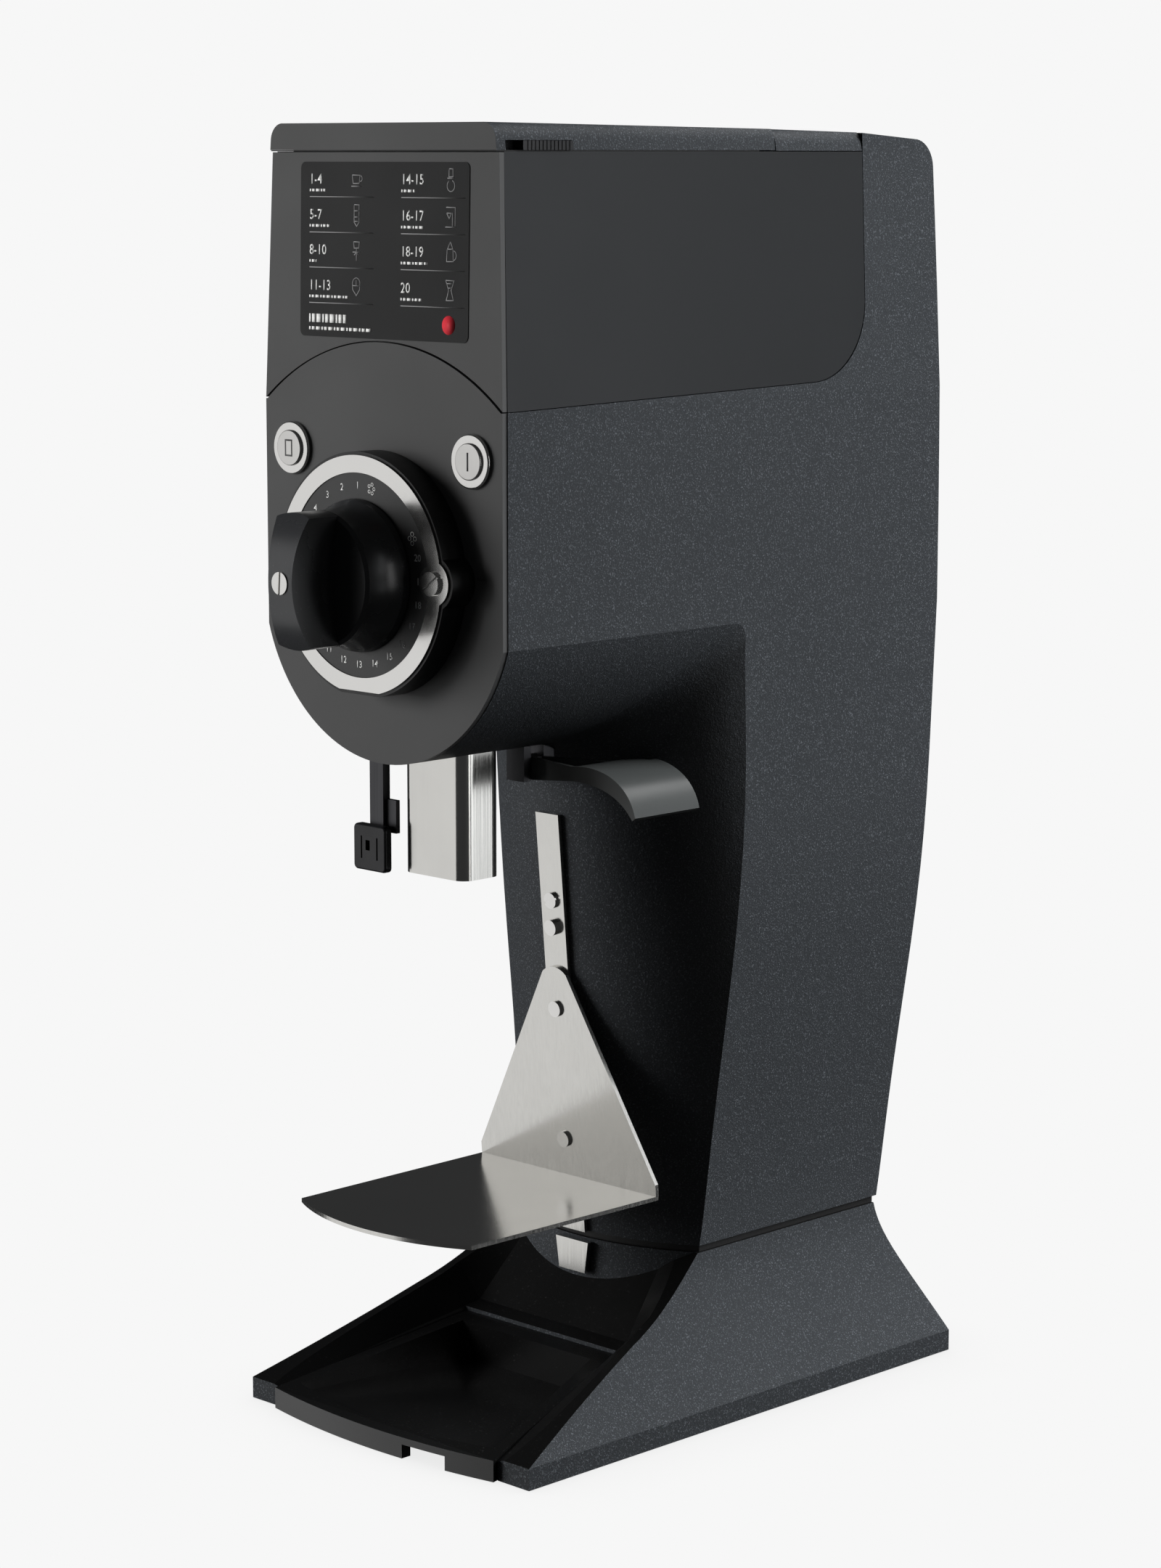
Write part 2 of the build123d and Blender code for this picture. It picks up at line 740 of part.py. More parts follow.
def hopper_bridge():
    outer = lid_section(76.4, lid_z + 0.4, 624)
    above = polygon_face([(63, 623.6), (127, 622.2), (127, 640), (63, 640)])
    with BuildPart() as bridge:
        with BuildSketch(front_plane(tower_y - 0.4)):
            add(outer)
        extrude(amount=tower_y - 0.4 - 63.8)
        with BuildSketch(Plane.YZ):
            add(above)
        extrude(amount=90, both=True, mode=Mode.SUBTRACT)
        with BuildSketch(Plane.XY.offset(lid_z)):
            with Locations((0, 95)):
                Rectangle(138, 50)
        extrude(amount=7, mode=Mode.SUBTRACT)
        with BuildSketch(Plane.XY.offset(hinge_z - 2)):
            with Locations((-44, 61.3), (44, 61.3)):
                Rectangle(8, 5.4)
        extrude(amount=3.6)
        with BuildSketch(Plane.YZ):
            with Locations((hinge_y, hinge_z)):
                Circle(hinge_r)
        extrude(amount=60, both=True, mode=Mode.SUBTRACT)
    finish(bridge, "hopper_bridge")


def lid_latch():
    with BuildPart() as latch:
        with BuildSketch(Plane.XY.offset(lid_z + 0.6)):
            with Locations((74.6, -90)):
                Rectangle(6, 31.6)
        extrude(amount=4.2)
        with BuildSketch(Plane.XY.offset(lid_z + 0.6)):
            with Locations((77.9, -90)):
                with GridLocations(1, 2.4, 1, 12):
                    Rectangle(1.2, 1.2, mode=Mode.ADD)
        extrude(amount=4.2, mode=Mode.SUBTRACT)
    finish(latch, "lid_latch")


# ---- buttons ------------------------------------------------------------------------------
def push_button(side, name):
    """Chromed bezel with its threaded sleeve, then the sprung cap, then the clamping nut."""
    x = side * button_x
    with BuildPart() as bezel:
        with BuildSketch(front_plane(face_y)):
            with Locations((x, button_z)):
                Circle(bezel_r)
        extrude(amount=2)
        fillet(bezel.faces().sort_by(Axis.Y)[0].edges(), 0.9)
        with BuildSketch(front_plane(face_y)):
            with Locations((x, button_z)):
                Circle(9.5)
        extrude(amount=-22)
        with BuildSketch(front_plane(face_y - 3)):
            with Locations((x, button_z)):
                Circle(cap_r + 0.06)
        extrude(amount=-19, mode=Mode.SUBTRACT)
    finish(bezel, f"{name}_bezel")
    with BuildPart() as cap:
        with BuildSketch(front_plane(face_y + 10)):
            with Locations((x, button_z)):
                Circle(cap_r)
        extrude(amount=13.2)
        fillet(cap.faces().sort_by(Axis.Y)[0].edges(), 0.5)
    finish(cap, f"{name}_cap")
    with BuildPart() as nut:
        with BuildSketch(front_plane(head_front_y)):
            with Locations((x, button_z)):
                RegularPolygon(13.5, 6)
                Circle(9.5, mode=Mode.SUBTRACT)
        extrude(amount=-5)
    finish(nut, f"{name}_nut")


# ---- dial ---------------------------------------------------------------------------------
def eared_outline(body_r, ear_r, low):
    """Round outline with a small ear on each side and a flat cut at the bottom."""
    with BuildSketch() as outline:
        Circle(body_r)
        with Locations((-ear_x, 0), (ear_x, 0)):
            Circle(ear_r)
        with Locations((0, low - 20)):
            Rectangle(60, 40, mode=Mode.SUBTRACT)
    return outline.sketch


def dial_housing():
    outline = eared_outline(drum_r, 12.4, -55.5)
    with BuildPart() as drum:
        with BuildSketch(axis_plane(face_y)):
            add(outline)
        extrude(amount=drum_t)
        with BuildSketch(axis_plane(face_y - 4)):
            Circle(44)
        extrude(amount=30, mode=Mode.SUBTRACT)
        with BuildSketch(axis_plane(face_y)):
            Circle(8.5)
        extrude(amount=10, mode=Mode.SUBTRACT)
        with BuildSketch(axis_plane(face_y - 8)):
            with Locations((-ear_x, 0), (ear_x, 0)):
                Circle(3.0)
        extrude(amount=8, mode=Mode.SUBTRACT)
    finish(drum, "dial_housing")


def dial_trim():
    outer = eared_outline(trim_r, 10.4, -53.8)
    with BuildPart() as trim:
        with BuildSketch(axis_plane(face_y - drum_t)):
            add(outer)
            Circle(trim_r - 8, mode=Mode.SUBTRACT)
            with Locations((-ear_x, 0), (ear_x, 0)):
                Circle(8.6)
                Circle(3.0, mode=Mode.SUBTRACT)
        extrude(amount=1)
    finish(trim, "dial_trim")


def dial_face():
    with BuildPart() as face:
        with BuildSketch(axis_plane(face_y - drum_t)):
            Circle(trim_r - 8.3)
            Circle(9, mode=Mode.SUBTRACT)
            with Locations((-ear_x, 0), (ear_x, 0)):
                Circle(8.9, mode=Mode.SUBTRACT)
        extrude(amount=0.6)
        with BuildSketch(axis_plane(face_y - drum_t)):
            Circle(43.7)
            Circle(36, mode=Mode.SUBTRACT)
            with Locations((-ear_x, 0), (ear_x, 0)):
                Circle(8.9, mode=Mode.SUBTRACT)
        extrude(amount=-10)
    finish(face, "dial_face")


def dial_screws():
    with BuildPart() as screws:
        with BuildSketch(axis_plane(face_y - drum_t - 1)):
            with Locations((-ear_x, 0), (ear_x, 0)):
                Circle(5.5)
        extrude(amount=1.8)
        with BuildSketch(axis_plane(face_y - drum_t - 2)):
            with Locations((-ear_x, 0), (ear_x, 0)):
                Rectangle(12, 1.3, rotation=35)
        extrude(amount=2, mode=Mode.SUBTRACT)
        with BuildSketch(axis_plane(face_y - drum_t - 1)):
            with Locations((-ear_x, 0), (ear_x, 0)):
                Circle(2.95)
        extrude(amount=-6.5)
    finish(screws, "dial_screws")


def grind_knob():
    with BuildSketch() as bow:
        with BuildLine():
            ThreePointArc((-12, -34), (-8.1, 0), (-12, 34))
            Line((-12, 34), (12, 34))
            ThreePointArc((12, 34), (8.1, 0), (12, -34))
            Line((12, -34), (-12, -34))
        make_face()
    with BuildLine() as dome_edge:
        Polyline((-174.0, 33), (knob_rim_y + 1, 33), (knob_rim_y + 1, -33), (-174.0, -33))
        ThreePointArc((-174.0, -33), (knob_tip_y, 0), (-174.0, 33))
    dome = make_face(dome_edge.line.edges(), mode=Mode.PRIVATE)
    with BuildPart() as bar:
        with BuildSketch(axis_plane(knob_rim_y + 1)):
            add(bow.sketch)
            Circle(knob_rim_r, mode=Mode.INTERSECT)
        extrude(amount=40)
        with BuildSketch(Plane(origin=(0, 0, axis_z), x_dir=(0, 1, 0), z_dir=(1, 0, 0))):
            add(dome)
        extrude(amount=40, both=True, mode=Mode.INTERSECT)
    with BuildPart() as knob:
        with BuildSketch(Plane(origin=(0, 0, axis_z), x_dir=(0, 1, 0), z_dir=(1, 0, 0))):
            with BuildLine():
                Polyline((knob_back_y, 0), (knob_back_y, knob_rim_r + 4),
                         (knob_back_y - 3, knob_rim_r + 3.4))
                ThreePointArc((knob_back_y - 3, knob_rim_r + 3.4), (-147, knob_rim_r + 1.0),
                              (knob_rim_y + 1.5, knob_rim_r))
                Polyline((knob_rim_y + 1.5, knob_rim_r), (knob_rim_y, knob_rim_r - 1.5),
                         (knob_rim_y, 0), (knob_back_y, 0))
            make_face()
        revolve(axis=Axis((0, 0, axis_z), (0, 1, 0)))
        add(bar.part)
        with BuildSketch(axis_plane(knob_back_y)):
            Circle(6.5)
        extrude(amount=45.8, mode=Mode.SUBTRACT)
        with BuildSketch(axis_plane(-183.6)):
            Circle(5.3)
        extrude(amount=5, mode=Mode.SUBTRACT)
    finish(knob, "grind_knob")


def knob_screw():
    with BuildPart() as screw:
        with BuildSketch(axis_plane(-183.6)):
            Circle(5.2)
        extrude(amount=1.5)
        with BuildSketch(axis_plane(-184.3)):
            Rectangle(12, 1.3, rotation=86)
        extrude(amount=2, mode=Mode.SUBTRACT)
    finish(screw, "knob_screw")


def adjusting_spindle():
    with BuildPart() as spindle:
        with BuildSketch(axis_plane(-109)):
            Circle(6.45)
        extrude(amount=74.6)
    finish(spindle, "adjusting_spindle")


# ---- grinding chamber ---------------------------------------------------------------------
def grinding_chamber():
    with BuildPart() as chamber:
        with BuildSketch(axis_plane(-58)):
            Circle(56)
        extrude(amount=-58 - head_front_y)
        with BuildSketch(Plane.XY.offset(axis_z + 40)):
            with Locations((0, throat_y)):
                Rectangle(throat_w + 9, throat_d + 7)
        extrude(amount=31.5)
        with BuildSketch(Plane.XY.offset(floor_z + 2)):
            with Locations((0, -78.5)):
                Rectangle(42, 29)
        extrude(amount=30)
        with BuildSketch(axis_plane(-62)):
            Circle(50)
        extrude(amount=30, mode=Mode.SUBTRACT)
        with BuildSketch(axis_plane(-92)):
            Circle(40)
        extrude(amount=8, mode=Mode.SUBTRACT)
        with BuildSketch(axis_plane(-100)):
            Circle(23)
        extrude(amount=15, mode=Mode.SUBTRACT)
        with BuildSketch(axis_plane(-50)):
            Circle(shaft_r + 1)
        extrude(amount=30, mode=Mode.SUBTRACT)
        with BuildSketch(axis_plane(-114)):
            Circle(6.5)
        extrude(amount=10, mode=Mode.SUBTRACT)
        with BuildSketch(Plane.XY.offset(axis_z)):
            with Locations((0, throat_y - 1.5)):
                Rectangle(throat_w - 3, throat_d - 5)
        extrude(amount=72, mode=Mode.SUBTRACT)
        with BuildSketch(Plane.XY.offset(floor_z)):
            with Locations((0, -78.5)):
                Rectangle(36, 19)
        extrude(amount=50, mode=Mode.SUBTRACT)
    finish(chamber, "grinding_chamber")


def burr(y, name):
    """Flat cutting ring with its rear at depth y, radial grooves in the front or back face."""
    with BuildPart() as ring:
        with BuildSketch(axis_plane(y)):
            Circle(39.7)
            Circle(24, mode=Mode.SUBTRACT)
        extrude(amount=8)
        cut_y = y + 0.01 if name == "fixed_burr" else y - 6.5
        with BuildSketch(axis_plane(cut_y)):
            with PolarLocations(31, 24):
                Rectangle(20, 2, rotation=18)
        extrude(amount=1.5, mode=Mode.SUBTRACT)
    finish(ring, name)


def burr_carrier():
    with BuildPart() as carrier:
        with BuildSketch(axis_plane(-74)):
            Circle(42)
            Circle(shaft_r, mode=Mode.SUBTRACT)
        extrude(amount=8)
        with BuildSketch(axis_plane(-82)):
            Circle(23.8)
            Circle(shaft_r, mode=Mode.SUBTRACT)
        extrude(amount=6)
        with BuildSketch(axis_plane(-74)):
            with PolarLocations(44, 4):
                Rectangle(6, 5)
        extrude(amount=8)
    finish(carrier, "burr_carrier")


def feed_auger():
    with BuildPart() as auger:
        with BuildSketch(axis_plane(-88)):
            Circle(11)
            Circle(shaft_r, mode=Mode.SUBTRACT)
        extrude(amount=24)
        with BuildSketch(axis_plane(-89)):
            with PolarLocations(15, 3):
                Rectangle(12, 5, rotation=25)
            Circle(shaft_r, mode=Mode.SUBTRACT)
        extrude(amount=22)
    finish(auger, "feed_auger")


def grinder_shaft():
    with BuildPart() as shaft:
        with BuildSketch(axis_plane(142)):
            Circle(shaft_r)
        extrude(amount=250)
    finish(shaft, "grinder_shaft")


# ---- motor --------------------------------------------------------------------------------
def bearing(y, name):
    """Ball bearing shown as inner race, cage and outer race in one ring."""
    with BuildPart() as ring:
        with BuildSketch(axis_plane(y)):
            Circle(18)
            Circle(shaft_r + 0.05, mode=Mode.SUBTRACT)
        extrude(amount=12)
        for face_depth in (y, y - 11):
            with BuildSketch(axis_plane(face_depth)):
                Circle(15)
                Circle(11, mode=Mode.SUBTRACT)
            extrude(amount=1, mode=Mode.SUBTRACT)
    finish(ring, name)


def motor_frame():
    with BuildPart() as frame:
        with BuildSketch(axis_plane(104)):
            Circle(71)
            with Locations((0, -2)):
                Rectangle(152, 20)
            Circle(68, mode=Mode.SUBTRACT)
        extrude(amount=144)
    finish(frame, "motor_frame")


def end_shield(y, hub_side, name):
    """End plate of the motor with a hub for the bearing on one side."""
    with BuildPart() as shield:
        with BuildSketch(axis_plane(y)):
            Circle(70)
            Circle(18, mode=Mode.SUBTRACT)
            with PolarLocations(44, 6):
                SlotOverall(26, 9, mode=Mode.SUBTRACT, rotation=90)
        extrude(amount=4)
        with BuildSketch(axis_plane(y)):
            Circle(23)
            Circle(18, mode=Mode.SUBTRACT)
        extrude(amount=hub_side)
    finish(shield, name)


def motor_stator():
    with BuildPart() as stator:
        with BuildSketch(axis_plane(98)):
            Circle(68)
            Circle(40, mode=Mode.SUBTRACT)
            with PolarLocations(46, 24):
                Rectangle(14, 4, mode=Mode.SUBTRACT)
        extrude(amount=126)
    finish(stator, "motor_stator")


def motor_windings():
    with BuildPart() as windings:
        for y in (103.5, -28):
            with BuildSketch(axis_plane(y)):
                Circle(62)
                Circle(42, mode=Mode.SUBTRACT)
            extrude(amount=5.5)
    finish(windings, "motor_windings")


def motor_rotor():
    with BuildPart() as rotor:
        with BuildSketch(axis_plane(94)):
            Circle(39)
            Circle(shaft_r, mode=Mode.SUBTRACT)
        extrude(amount=120)
    finish(rotor, "motor_rotor")


def motor_fan():
    with BuildPart() as fan:
        with BuildSketch(axis_plane(140)):
            Circle(14)
            Circle(shaft_r, mode=Mode.SUBTRACT)
        extrude(amount=14)
        with BuildSketch(axis_plane(129)):
            Circle(52)
            Circle(shaft_r, mode=Mode.SUBTRACT)
        extrude(amount=2)
        with BuildSketch(axis_plane(140)):
            with PolarLocations(32, 9):
                Rectangle(38, 2.4)
        extrude(amount=12)
    finish(fan, "motor_fan")


def electrics_plate():
    with BuildPart() as plate:
        with BuildSketch(Plane.XY.offset(deck_z)):
            with Locations((0, 138)):
                Rectangle(86, 3)
        extrude(amount=172)
        with BuildSketch(Plane.XY.offset(150)):
            with Locations((0, 112)):
                Rectangle(60, 49)
        extrude(amount=2)
    finish(plate, "electrics_plate")


def run_capacitor():
    with BuildPart() as capacitor:
        with BuildSketch(Plane.XY.offset(152)):
            with Locations((8, 112)):
                Circle(20)
        extrude(amount=78)
        fillet(capacitor.faces().sort_by(Axis.Z)[-1].edges(), 3)
    finish(capacitor, "run_capacitor")


def terminal_block():
    with BuildPart() as block:
        with BuildSketch(front_plane(136.5)):
            with Locations((-30, 200)):
                Rectangle(18, 56)
        extrude(amount=15)
        with BuildSketch(front_plane(121.5)):
            with Locations((-30, 200)):
                with GridLocations(9, 12, 1, 4):
                    Circle(2.5)
        extrude(amount=-4, mode=Mode.SUBTRACT)
    finish(block, "terminal_block")


# ---- spout and knocker --------------------------------------------------------------------
def spout_chute():
    mid_y = (spout_front_y + spout_rear_y) / 2
    deep = spout_rear_y - spout_front_y
    with BuildPart() as chute:
        with BuildSketch(Plane.XY.offset(spout_z)):
            with Locations((0, mid_y)):
                RectangleRounded(2 * spout_half, deep, 6.5)
        extrude(amount=floor_z - spout_z)
        with BuildSketch(Plane.XY.offset(floor_z)):
            with Locations((0, mid_y)):
                Rectangle(56, 38)
        extrude(amount=2)
        with BuildSketch(Plane.XY.offset(spout_z)):
            with Locations((0, mid_y)):
                RectangleRounded(2 * spout_half - 2.4, deep - 2.4, 5.3)
        extrude(amount=90, mode=Mode.SUBTRACT)
    finish(chute, "spout_chute")


def knocker_arm():
    with BuildPart() as arm:
        with BuildSketch(front_plane(-91.5)):
            with Locations((-34, 323)):
                Rectangle(9.4, 66)
            with Locations((-34, 356)):
                Circle(4.7)
            with Locations((-34, 356)):
                Circle(2.05, mode=Mode.SUBTRACT)
        extrude(amount=4.5)
        with BuildSketch(front_plane(-91.5)):
            with Locations((-26.4, 299)):
                Rectangle(8, 16)
        extrude(amount=2.5)
    finish(arm, "knocker_arm")


def knocker_handle():
    with BuildPart() as handle:
        with BuildSketch(front_plane(-96)):
            with Locations((-35.1, 283.2)):
                RectangleRounded(22.8, 22.4, 2.5)
        extrude(amount=4)
        fillet(handle.faces().sort_by(Axis.Y)[0].edges(), 1.2)
        with BuildSketch(front_plane(-98.8)):
            with Locations((-35.1, 283.2)):
                with GridLocations(11, 10, 2, 1):
                    Rectangle(1, 11)
        extrude(amount=3, mode=Mode.SUBTRACT)
        with BuildSketch(front_plane(-90)):
            with Locations((-36.2, 284.4)):
                Rectangle(3, 5)
        extrude(amount=20, mode=Mode.SUBTRACT)
        with BuildSketch(front_plane(-92.5)):
            with Locations((-35.1, 279.5)):
                Rectangle(14, 15)
        extrude(amount=3.5)
    finish(handle, "knocker_handle")


def knocker_pivot():
    with BuildPart() as pivot:
        with BuildSketch(Plane.XY.offset(floor_z)):
            with Locations((-33.9, -86.2)):
                Rectangle(11.2, 6)
        extrude(amount=18)
        with BuildSketch(front_plane(-83.2)):
            with Locations((-34, 356)):
                Circle(2)
        extrude(amount=14)
    finish(pivot, "knocker_pivot")


# ---- bag lever ----------------------------------------------------------------------------
def lever_profile():
    """Front view of the lever: flat arm, then a tongue that curves down."""
    with BuildLine() as edge:
        Polyline((44, 318), (10, 315), (5, 321), (10, 327), (44, 325))
        Spline((44, 325), (60, 325.2), (75, 320), (86, 305))
        Line((86, 305), (84, 303.5))
        Spline((84, 303.5), (72.5, 313), (60, 317), (44, 318))
    return make_face(edge.line.edges(), mode=Mode.PRIVATE)


def bag_lever():
    profile = lever_profile()
    plan = polygon_face([(0, -41.8), (90, -41.8), (90, 2.2), (57.5, 2.2), (57.5, -2), (40, -20),
                         (17.6, -34), (0, -34)])
    pocket = polygon_face([(18, -39.6), (47, -39.6), (47, -16.4), (41.2, -22.2), (18, -35.8)])
    with BuildPart() as lever:
        with BuildSketch(front_plane(10)):
            add(profile)
        extrude(amount=60)
        with BuildSketch(Plane.XY.offset(290)):
            add(plan)
        extrude(amount=50, mode=Mode.INTERSECT)
        with BuildSketch(Plane.XY.offset(319.5)):
            add(pocket)
        extrude(amount=20, mode=Mode.SUBTRACT)
        with BuildSketch(front_plane(-20)):
            with Locations((11, 321)):
                Circle(2.55)
        extrude(amount=40, mode=Mode.SUBTRACT)
    finish(lever, "bag_lever")


def bag_lever_pivot():
    with BuildPart() as pivot:
        with BuildSketch(Plane.XY.offset(315)):
            with Locations((11, -30.2)):
                Rectangle(12, 7)
        extrude(amount=floor_z - 315)
        with BuildSketch(Plane.XY.offset(315)):
            with Locations((11, -44.6)):
                Rectangle(12, 4.6)
        extrude(amount=floor_z - 315)
        with BuildSketch(Plane.XY.offset(floor_z)):
            with Locations((11, -37.2)):
                Rectangle(28, 32)
        extrude(amount=2)
        with BuildSketch(front_plane(-28)):
            with Locations((11, 321)):
                Circle(2.5)
        extrude(amount=18)
    finish(pivot, "bag_lever_pivot")


# ---- support rail and bag shelf -----------------------------------------------------------
def support_rail():
    length = (rail_top_z - rail_low_z) / cos(radians(rail_angle))
    with BuildPart() as rail:
        with BuildSketch(rail_plane(rail_low_z, 0)):
            with Locations((0, length / 2)):
                Rectangle(15.5, length)
        extrude(amount=-sheet_t)
    finish(rail, "support_rail")


def rail_screws():
    with BuildPart() as screws:
        with BuildSketch(rail_plane(250.4, 0)):
            Circle(4)
        extrude(amount=1.8)
        with BuildSketch(rail_plane(250.4, 1)):
            Rectangle(9, 1.1, rotation=20)
        extrude(amount=2, mode=Mode.SUBTRACT)
        with BuildSketch(rail_plane(236.9, 0)):
            Circle(4)
        extrude(amount=3)
    finish(screws, "rail_screws")


def rail_foot():
    foot = polygon_face([(-11.2, 76), (11.2, 76), (8.9, 60), (-8.9, 60)])
    with BuildPart() as tab:
        with BuildSketch(front_plane(5.4)):
            add(foot)
        extrude(amount=3)
    finish(tab, "rail_foot")


def bag_shelf():
    """Bent sheet: tapering plate on the rail, folded forward into the shelf."""
    fold_y = rail_low_y - rail_slope * (shelf_z - rail_low_z) - 0.4
    rise = (213.8 - shelf_z) / cos(radians(rail_angle))
    with BuildLine() as edge:
        Polyline((-8, rise), (-shelf_half, 6), (-shelf_half, 0), (shelf_half, 0), (shelf_half, 6),
                 (8, rise))
        ThreePointArc((8, rise), (0, rise + 3.2), (-8, rise))
    back = make_face(edge.line.edges(), mode=Mode.PRIVATE)
    with BuildLine() as edge:
        Polyline((-shelf_half, fold_y), (-60, -123.8))
        ThreePointArc((-60, -123.8), (0, -139.3), (60, -123.8))
        Polyline((60, -123.8), (shelf_half, fold_y), (-shelf_half, fold_y))
    top = make_face(edge.line.edges(), mode=Mode.PRIVATE)
    with BuildPart() as shelf:
        with BuildSketch(rail_plane(shelf_z, 0.05)):
            add(back)
        extrude(amount=sheet_t)
        with BuildSketch(Plane.XY.offset(shelf_z - sheet_t)):
            add(top)
        extrude(amount=sheet_t)
    finish(shelf, "bag_shelf")


def shelf_studs():
    with BuildPart() as studs:
        for z in (195.7, 128.6):
            with BuildSketch(rail_plane(z, 0.05 + sheet_t)):
                Circle(4)
            extrude(amount=1.6)
    finish(studs, "shelf_studs")


housing_casting()
rear_cover()
power_inlet()
power_switch()
base_casting()
base_bottom_plate()
rubber_feet()
neck_gasket()
grounds_tray()
front_plate()
hopper_shell()
bean_funnel()
hopper_front_panel()
grind_chart()
hopper_lid()
lid_hinge_pin()
hopper_bridge()
lid_latch()
push_button(-1, "stop_button")
push_button(1, "start_button")
dial_housing()
dial_trim()
dial_face()
dial_screws()
grind_knob()
knob_screw()
adjusting_spindle()
grinding_chamber()
burr(-92, "fixed_burr")
burr(-82, "moving_burr")
burr_carrier()
feed_auger()
grinder_shaft()
bearing(-46, "front_bearing")
bearing(124, "rear_bearing")
motor_frame()
end_shield(-40, 16, "front_shield")
end_shield(108, -16, "rear_shield")
motor_stator()
motor_windings()
motor_rotor()
motor_fan()
electrics_plate()
run_capacitor()
terminal_block()
spout_chute()
knocker_arm()
knocker_handle()
knocker_pivot()
bag_lever()
bag_lever_pivot()
support_rail()
rail_screws()
rail_foot()
bag_shelf()
shelf_studs()
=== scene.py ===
"""Looks of the shop coffee grinder: materials, printing, lights and camera around its CAD frame."""
import json
import math

import bmesh
import bpy
from mathutils import Matrix, Vector


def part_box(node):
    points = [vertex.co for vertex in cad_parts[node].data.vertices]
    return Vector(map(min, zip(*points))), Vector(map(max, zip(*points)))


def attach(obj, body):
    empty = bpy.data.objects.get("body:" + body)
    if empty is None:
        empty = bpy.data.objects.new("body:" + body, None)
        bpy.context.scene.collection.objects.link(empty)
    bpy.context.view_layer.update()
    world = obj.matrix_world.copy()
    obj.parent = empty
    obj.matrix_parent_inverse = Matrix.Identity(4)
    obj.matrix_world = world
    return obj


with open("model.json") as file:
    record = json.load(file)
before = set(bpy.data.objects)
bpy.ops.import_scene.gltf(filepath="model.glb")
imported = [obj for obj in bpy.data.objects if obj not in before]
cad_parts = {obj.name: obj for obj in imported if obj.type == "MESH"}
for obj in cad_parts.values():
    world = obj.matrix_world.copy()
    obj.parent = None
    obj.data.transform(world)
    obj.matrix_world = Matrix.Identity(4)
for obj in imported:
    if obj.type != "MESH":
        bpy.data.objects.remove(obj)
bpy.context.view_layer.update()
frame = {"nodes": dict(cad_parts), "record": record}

# ---- camera -------------------------------------------------------------------------------
CAMERA_AT = (1.32865, -1.33093, 0.61177)
CAMERA_TARGET = (-0.03173, 0.0406, 0.29854)
LENS_MM = 89.19

camera_data = bpy.data.cameras.new("camera")
camera_data.lens = LENS_MM
camera_data.sensor_width = 36.0
camera = bpy.data.objects.new("camera", camera_data)
bpy.context.scene.collection.objects.link(camera)
camera.location = CAMERA_AT
camera.rotation_mode = "QUATERNION"
camera.rotation_quaternion = (Vector(CAMERA_TARGET) - Vector(CAMERA_AT)).to_track_quat("-Z", "Y")
bpy.context.scene.camera = camera


# ---- node helpers -------------------------------------------------------------------------
class Nodes:
    """A material with its output, a Principled shader and short calls for common nodes."""

    def __init__(self, name, base, roughness, metallic=0.0, specular=0.5):
        self.material = bpy.data.materials.new(name)
        self.material.use_nodes = True
        self.tree = self.material.node_tree
        self.shader = self.tree.nodes["Principled BSDF"]
        self.set("Base Color", (*base, 1.0))
        self.set("Roughness", roughness)
        self.set("Metallic", metallic)
        self.set("Specular IOR Level", specular)

    def set(self, socket, value):
        self.shader.inputs[socket].default_value = value

    def node(self, kind, **values):
        made = self.tree.nodes.new(kind)
        for key, value in values.items():
            if key in made.inputs:
                made.inputs[key].default_value = value
            else:
                setattr(made, key, value)
        return made

    def link(self, a, b):
        self.tree.links.new(a, b)

    def coordinates(self, scale=(1.0, 1.0, 1.0)):
        """Object coordinates in metres, stretched per axis."""
        place = self.node("ShaderNodeTexCoord")
        mapping = self.node("ShaderNodeMapping")
        mapping.inputs["Scale"].default_value = scale
        self.link(place.outputs["Object"], mapping.inputs["Vector"])
        return mapping.outputs["Vector"]

    def noise(self, vector, scale, detail=3.0, roughness=0.55):
        made = self.node("ShaderNodeTexNoise", Scale=scale, Detail=detail, Roughness=roughness)
        self.link(vector, made.inputs["Vector"])
        return made.outputs["Fac"]

    def ramp(self, value, low, high, low_value, high_value):
        made = self.node("ShaderNodeMapRange")
        self.link(value, made.inputs["Value"])
        made.inputs["From Min"].default_value = low
        made.inputs["From Max"].default_value = high
        made.inputs["To Min"].default_value = low_value
        made.inputs["To Max"].default_value = high_value
        return made.outputs["Result"]

    def mix_colour(self, factor, a, b):
        made = self.node("ShaderNodeMix", data_type="RGBA")
        self.link(factor, made.inputs[0])
        made.inputs[6].default_value = (*a, 1.0)
        made.inputs[7].default_value = (*b, 1.0)
        return made.outputs[2]

    def bump(self, height, strength, distance, before=None):
        made = self.node("ShaderNodeBump", Strength=strength, Distance=distance)
        self.link(height, made.inputs["Height"])
        if before is not None:
            self.link(before, made.inputs["Normal"])
        return made.outputs["Normal"]

    def finish(self, normal=None, roughness=None, colour=None):
        if normal is not None:
            self.link(normal, self.shader.inputs["Normal"])
        if roughness is not None:
            self.link(roughness, self.shader.inputs["Roughness"])
        if colour is not None:
            self.link(colour, self.shader.inputs["Base Color"])
        return self.material


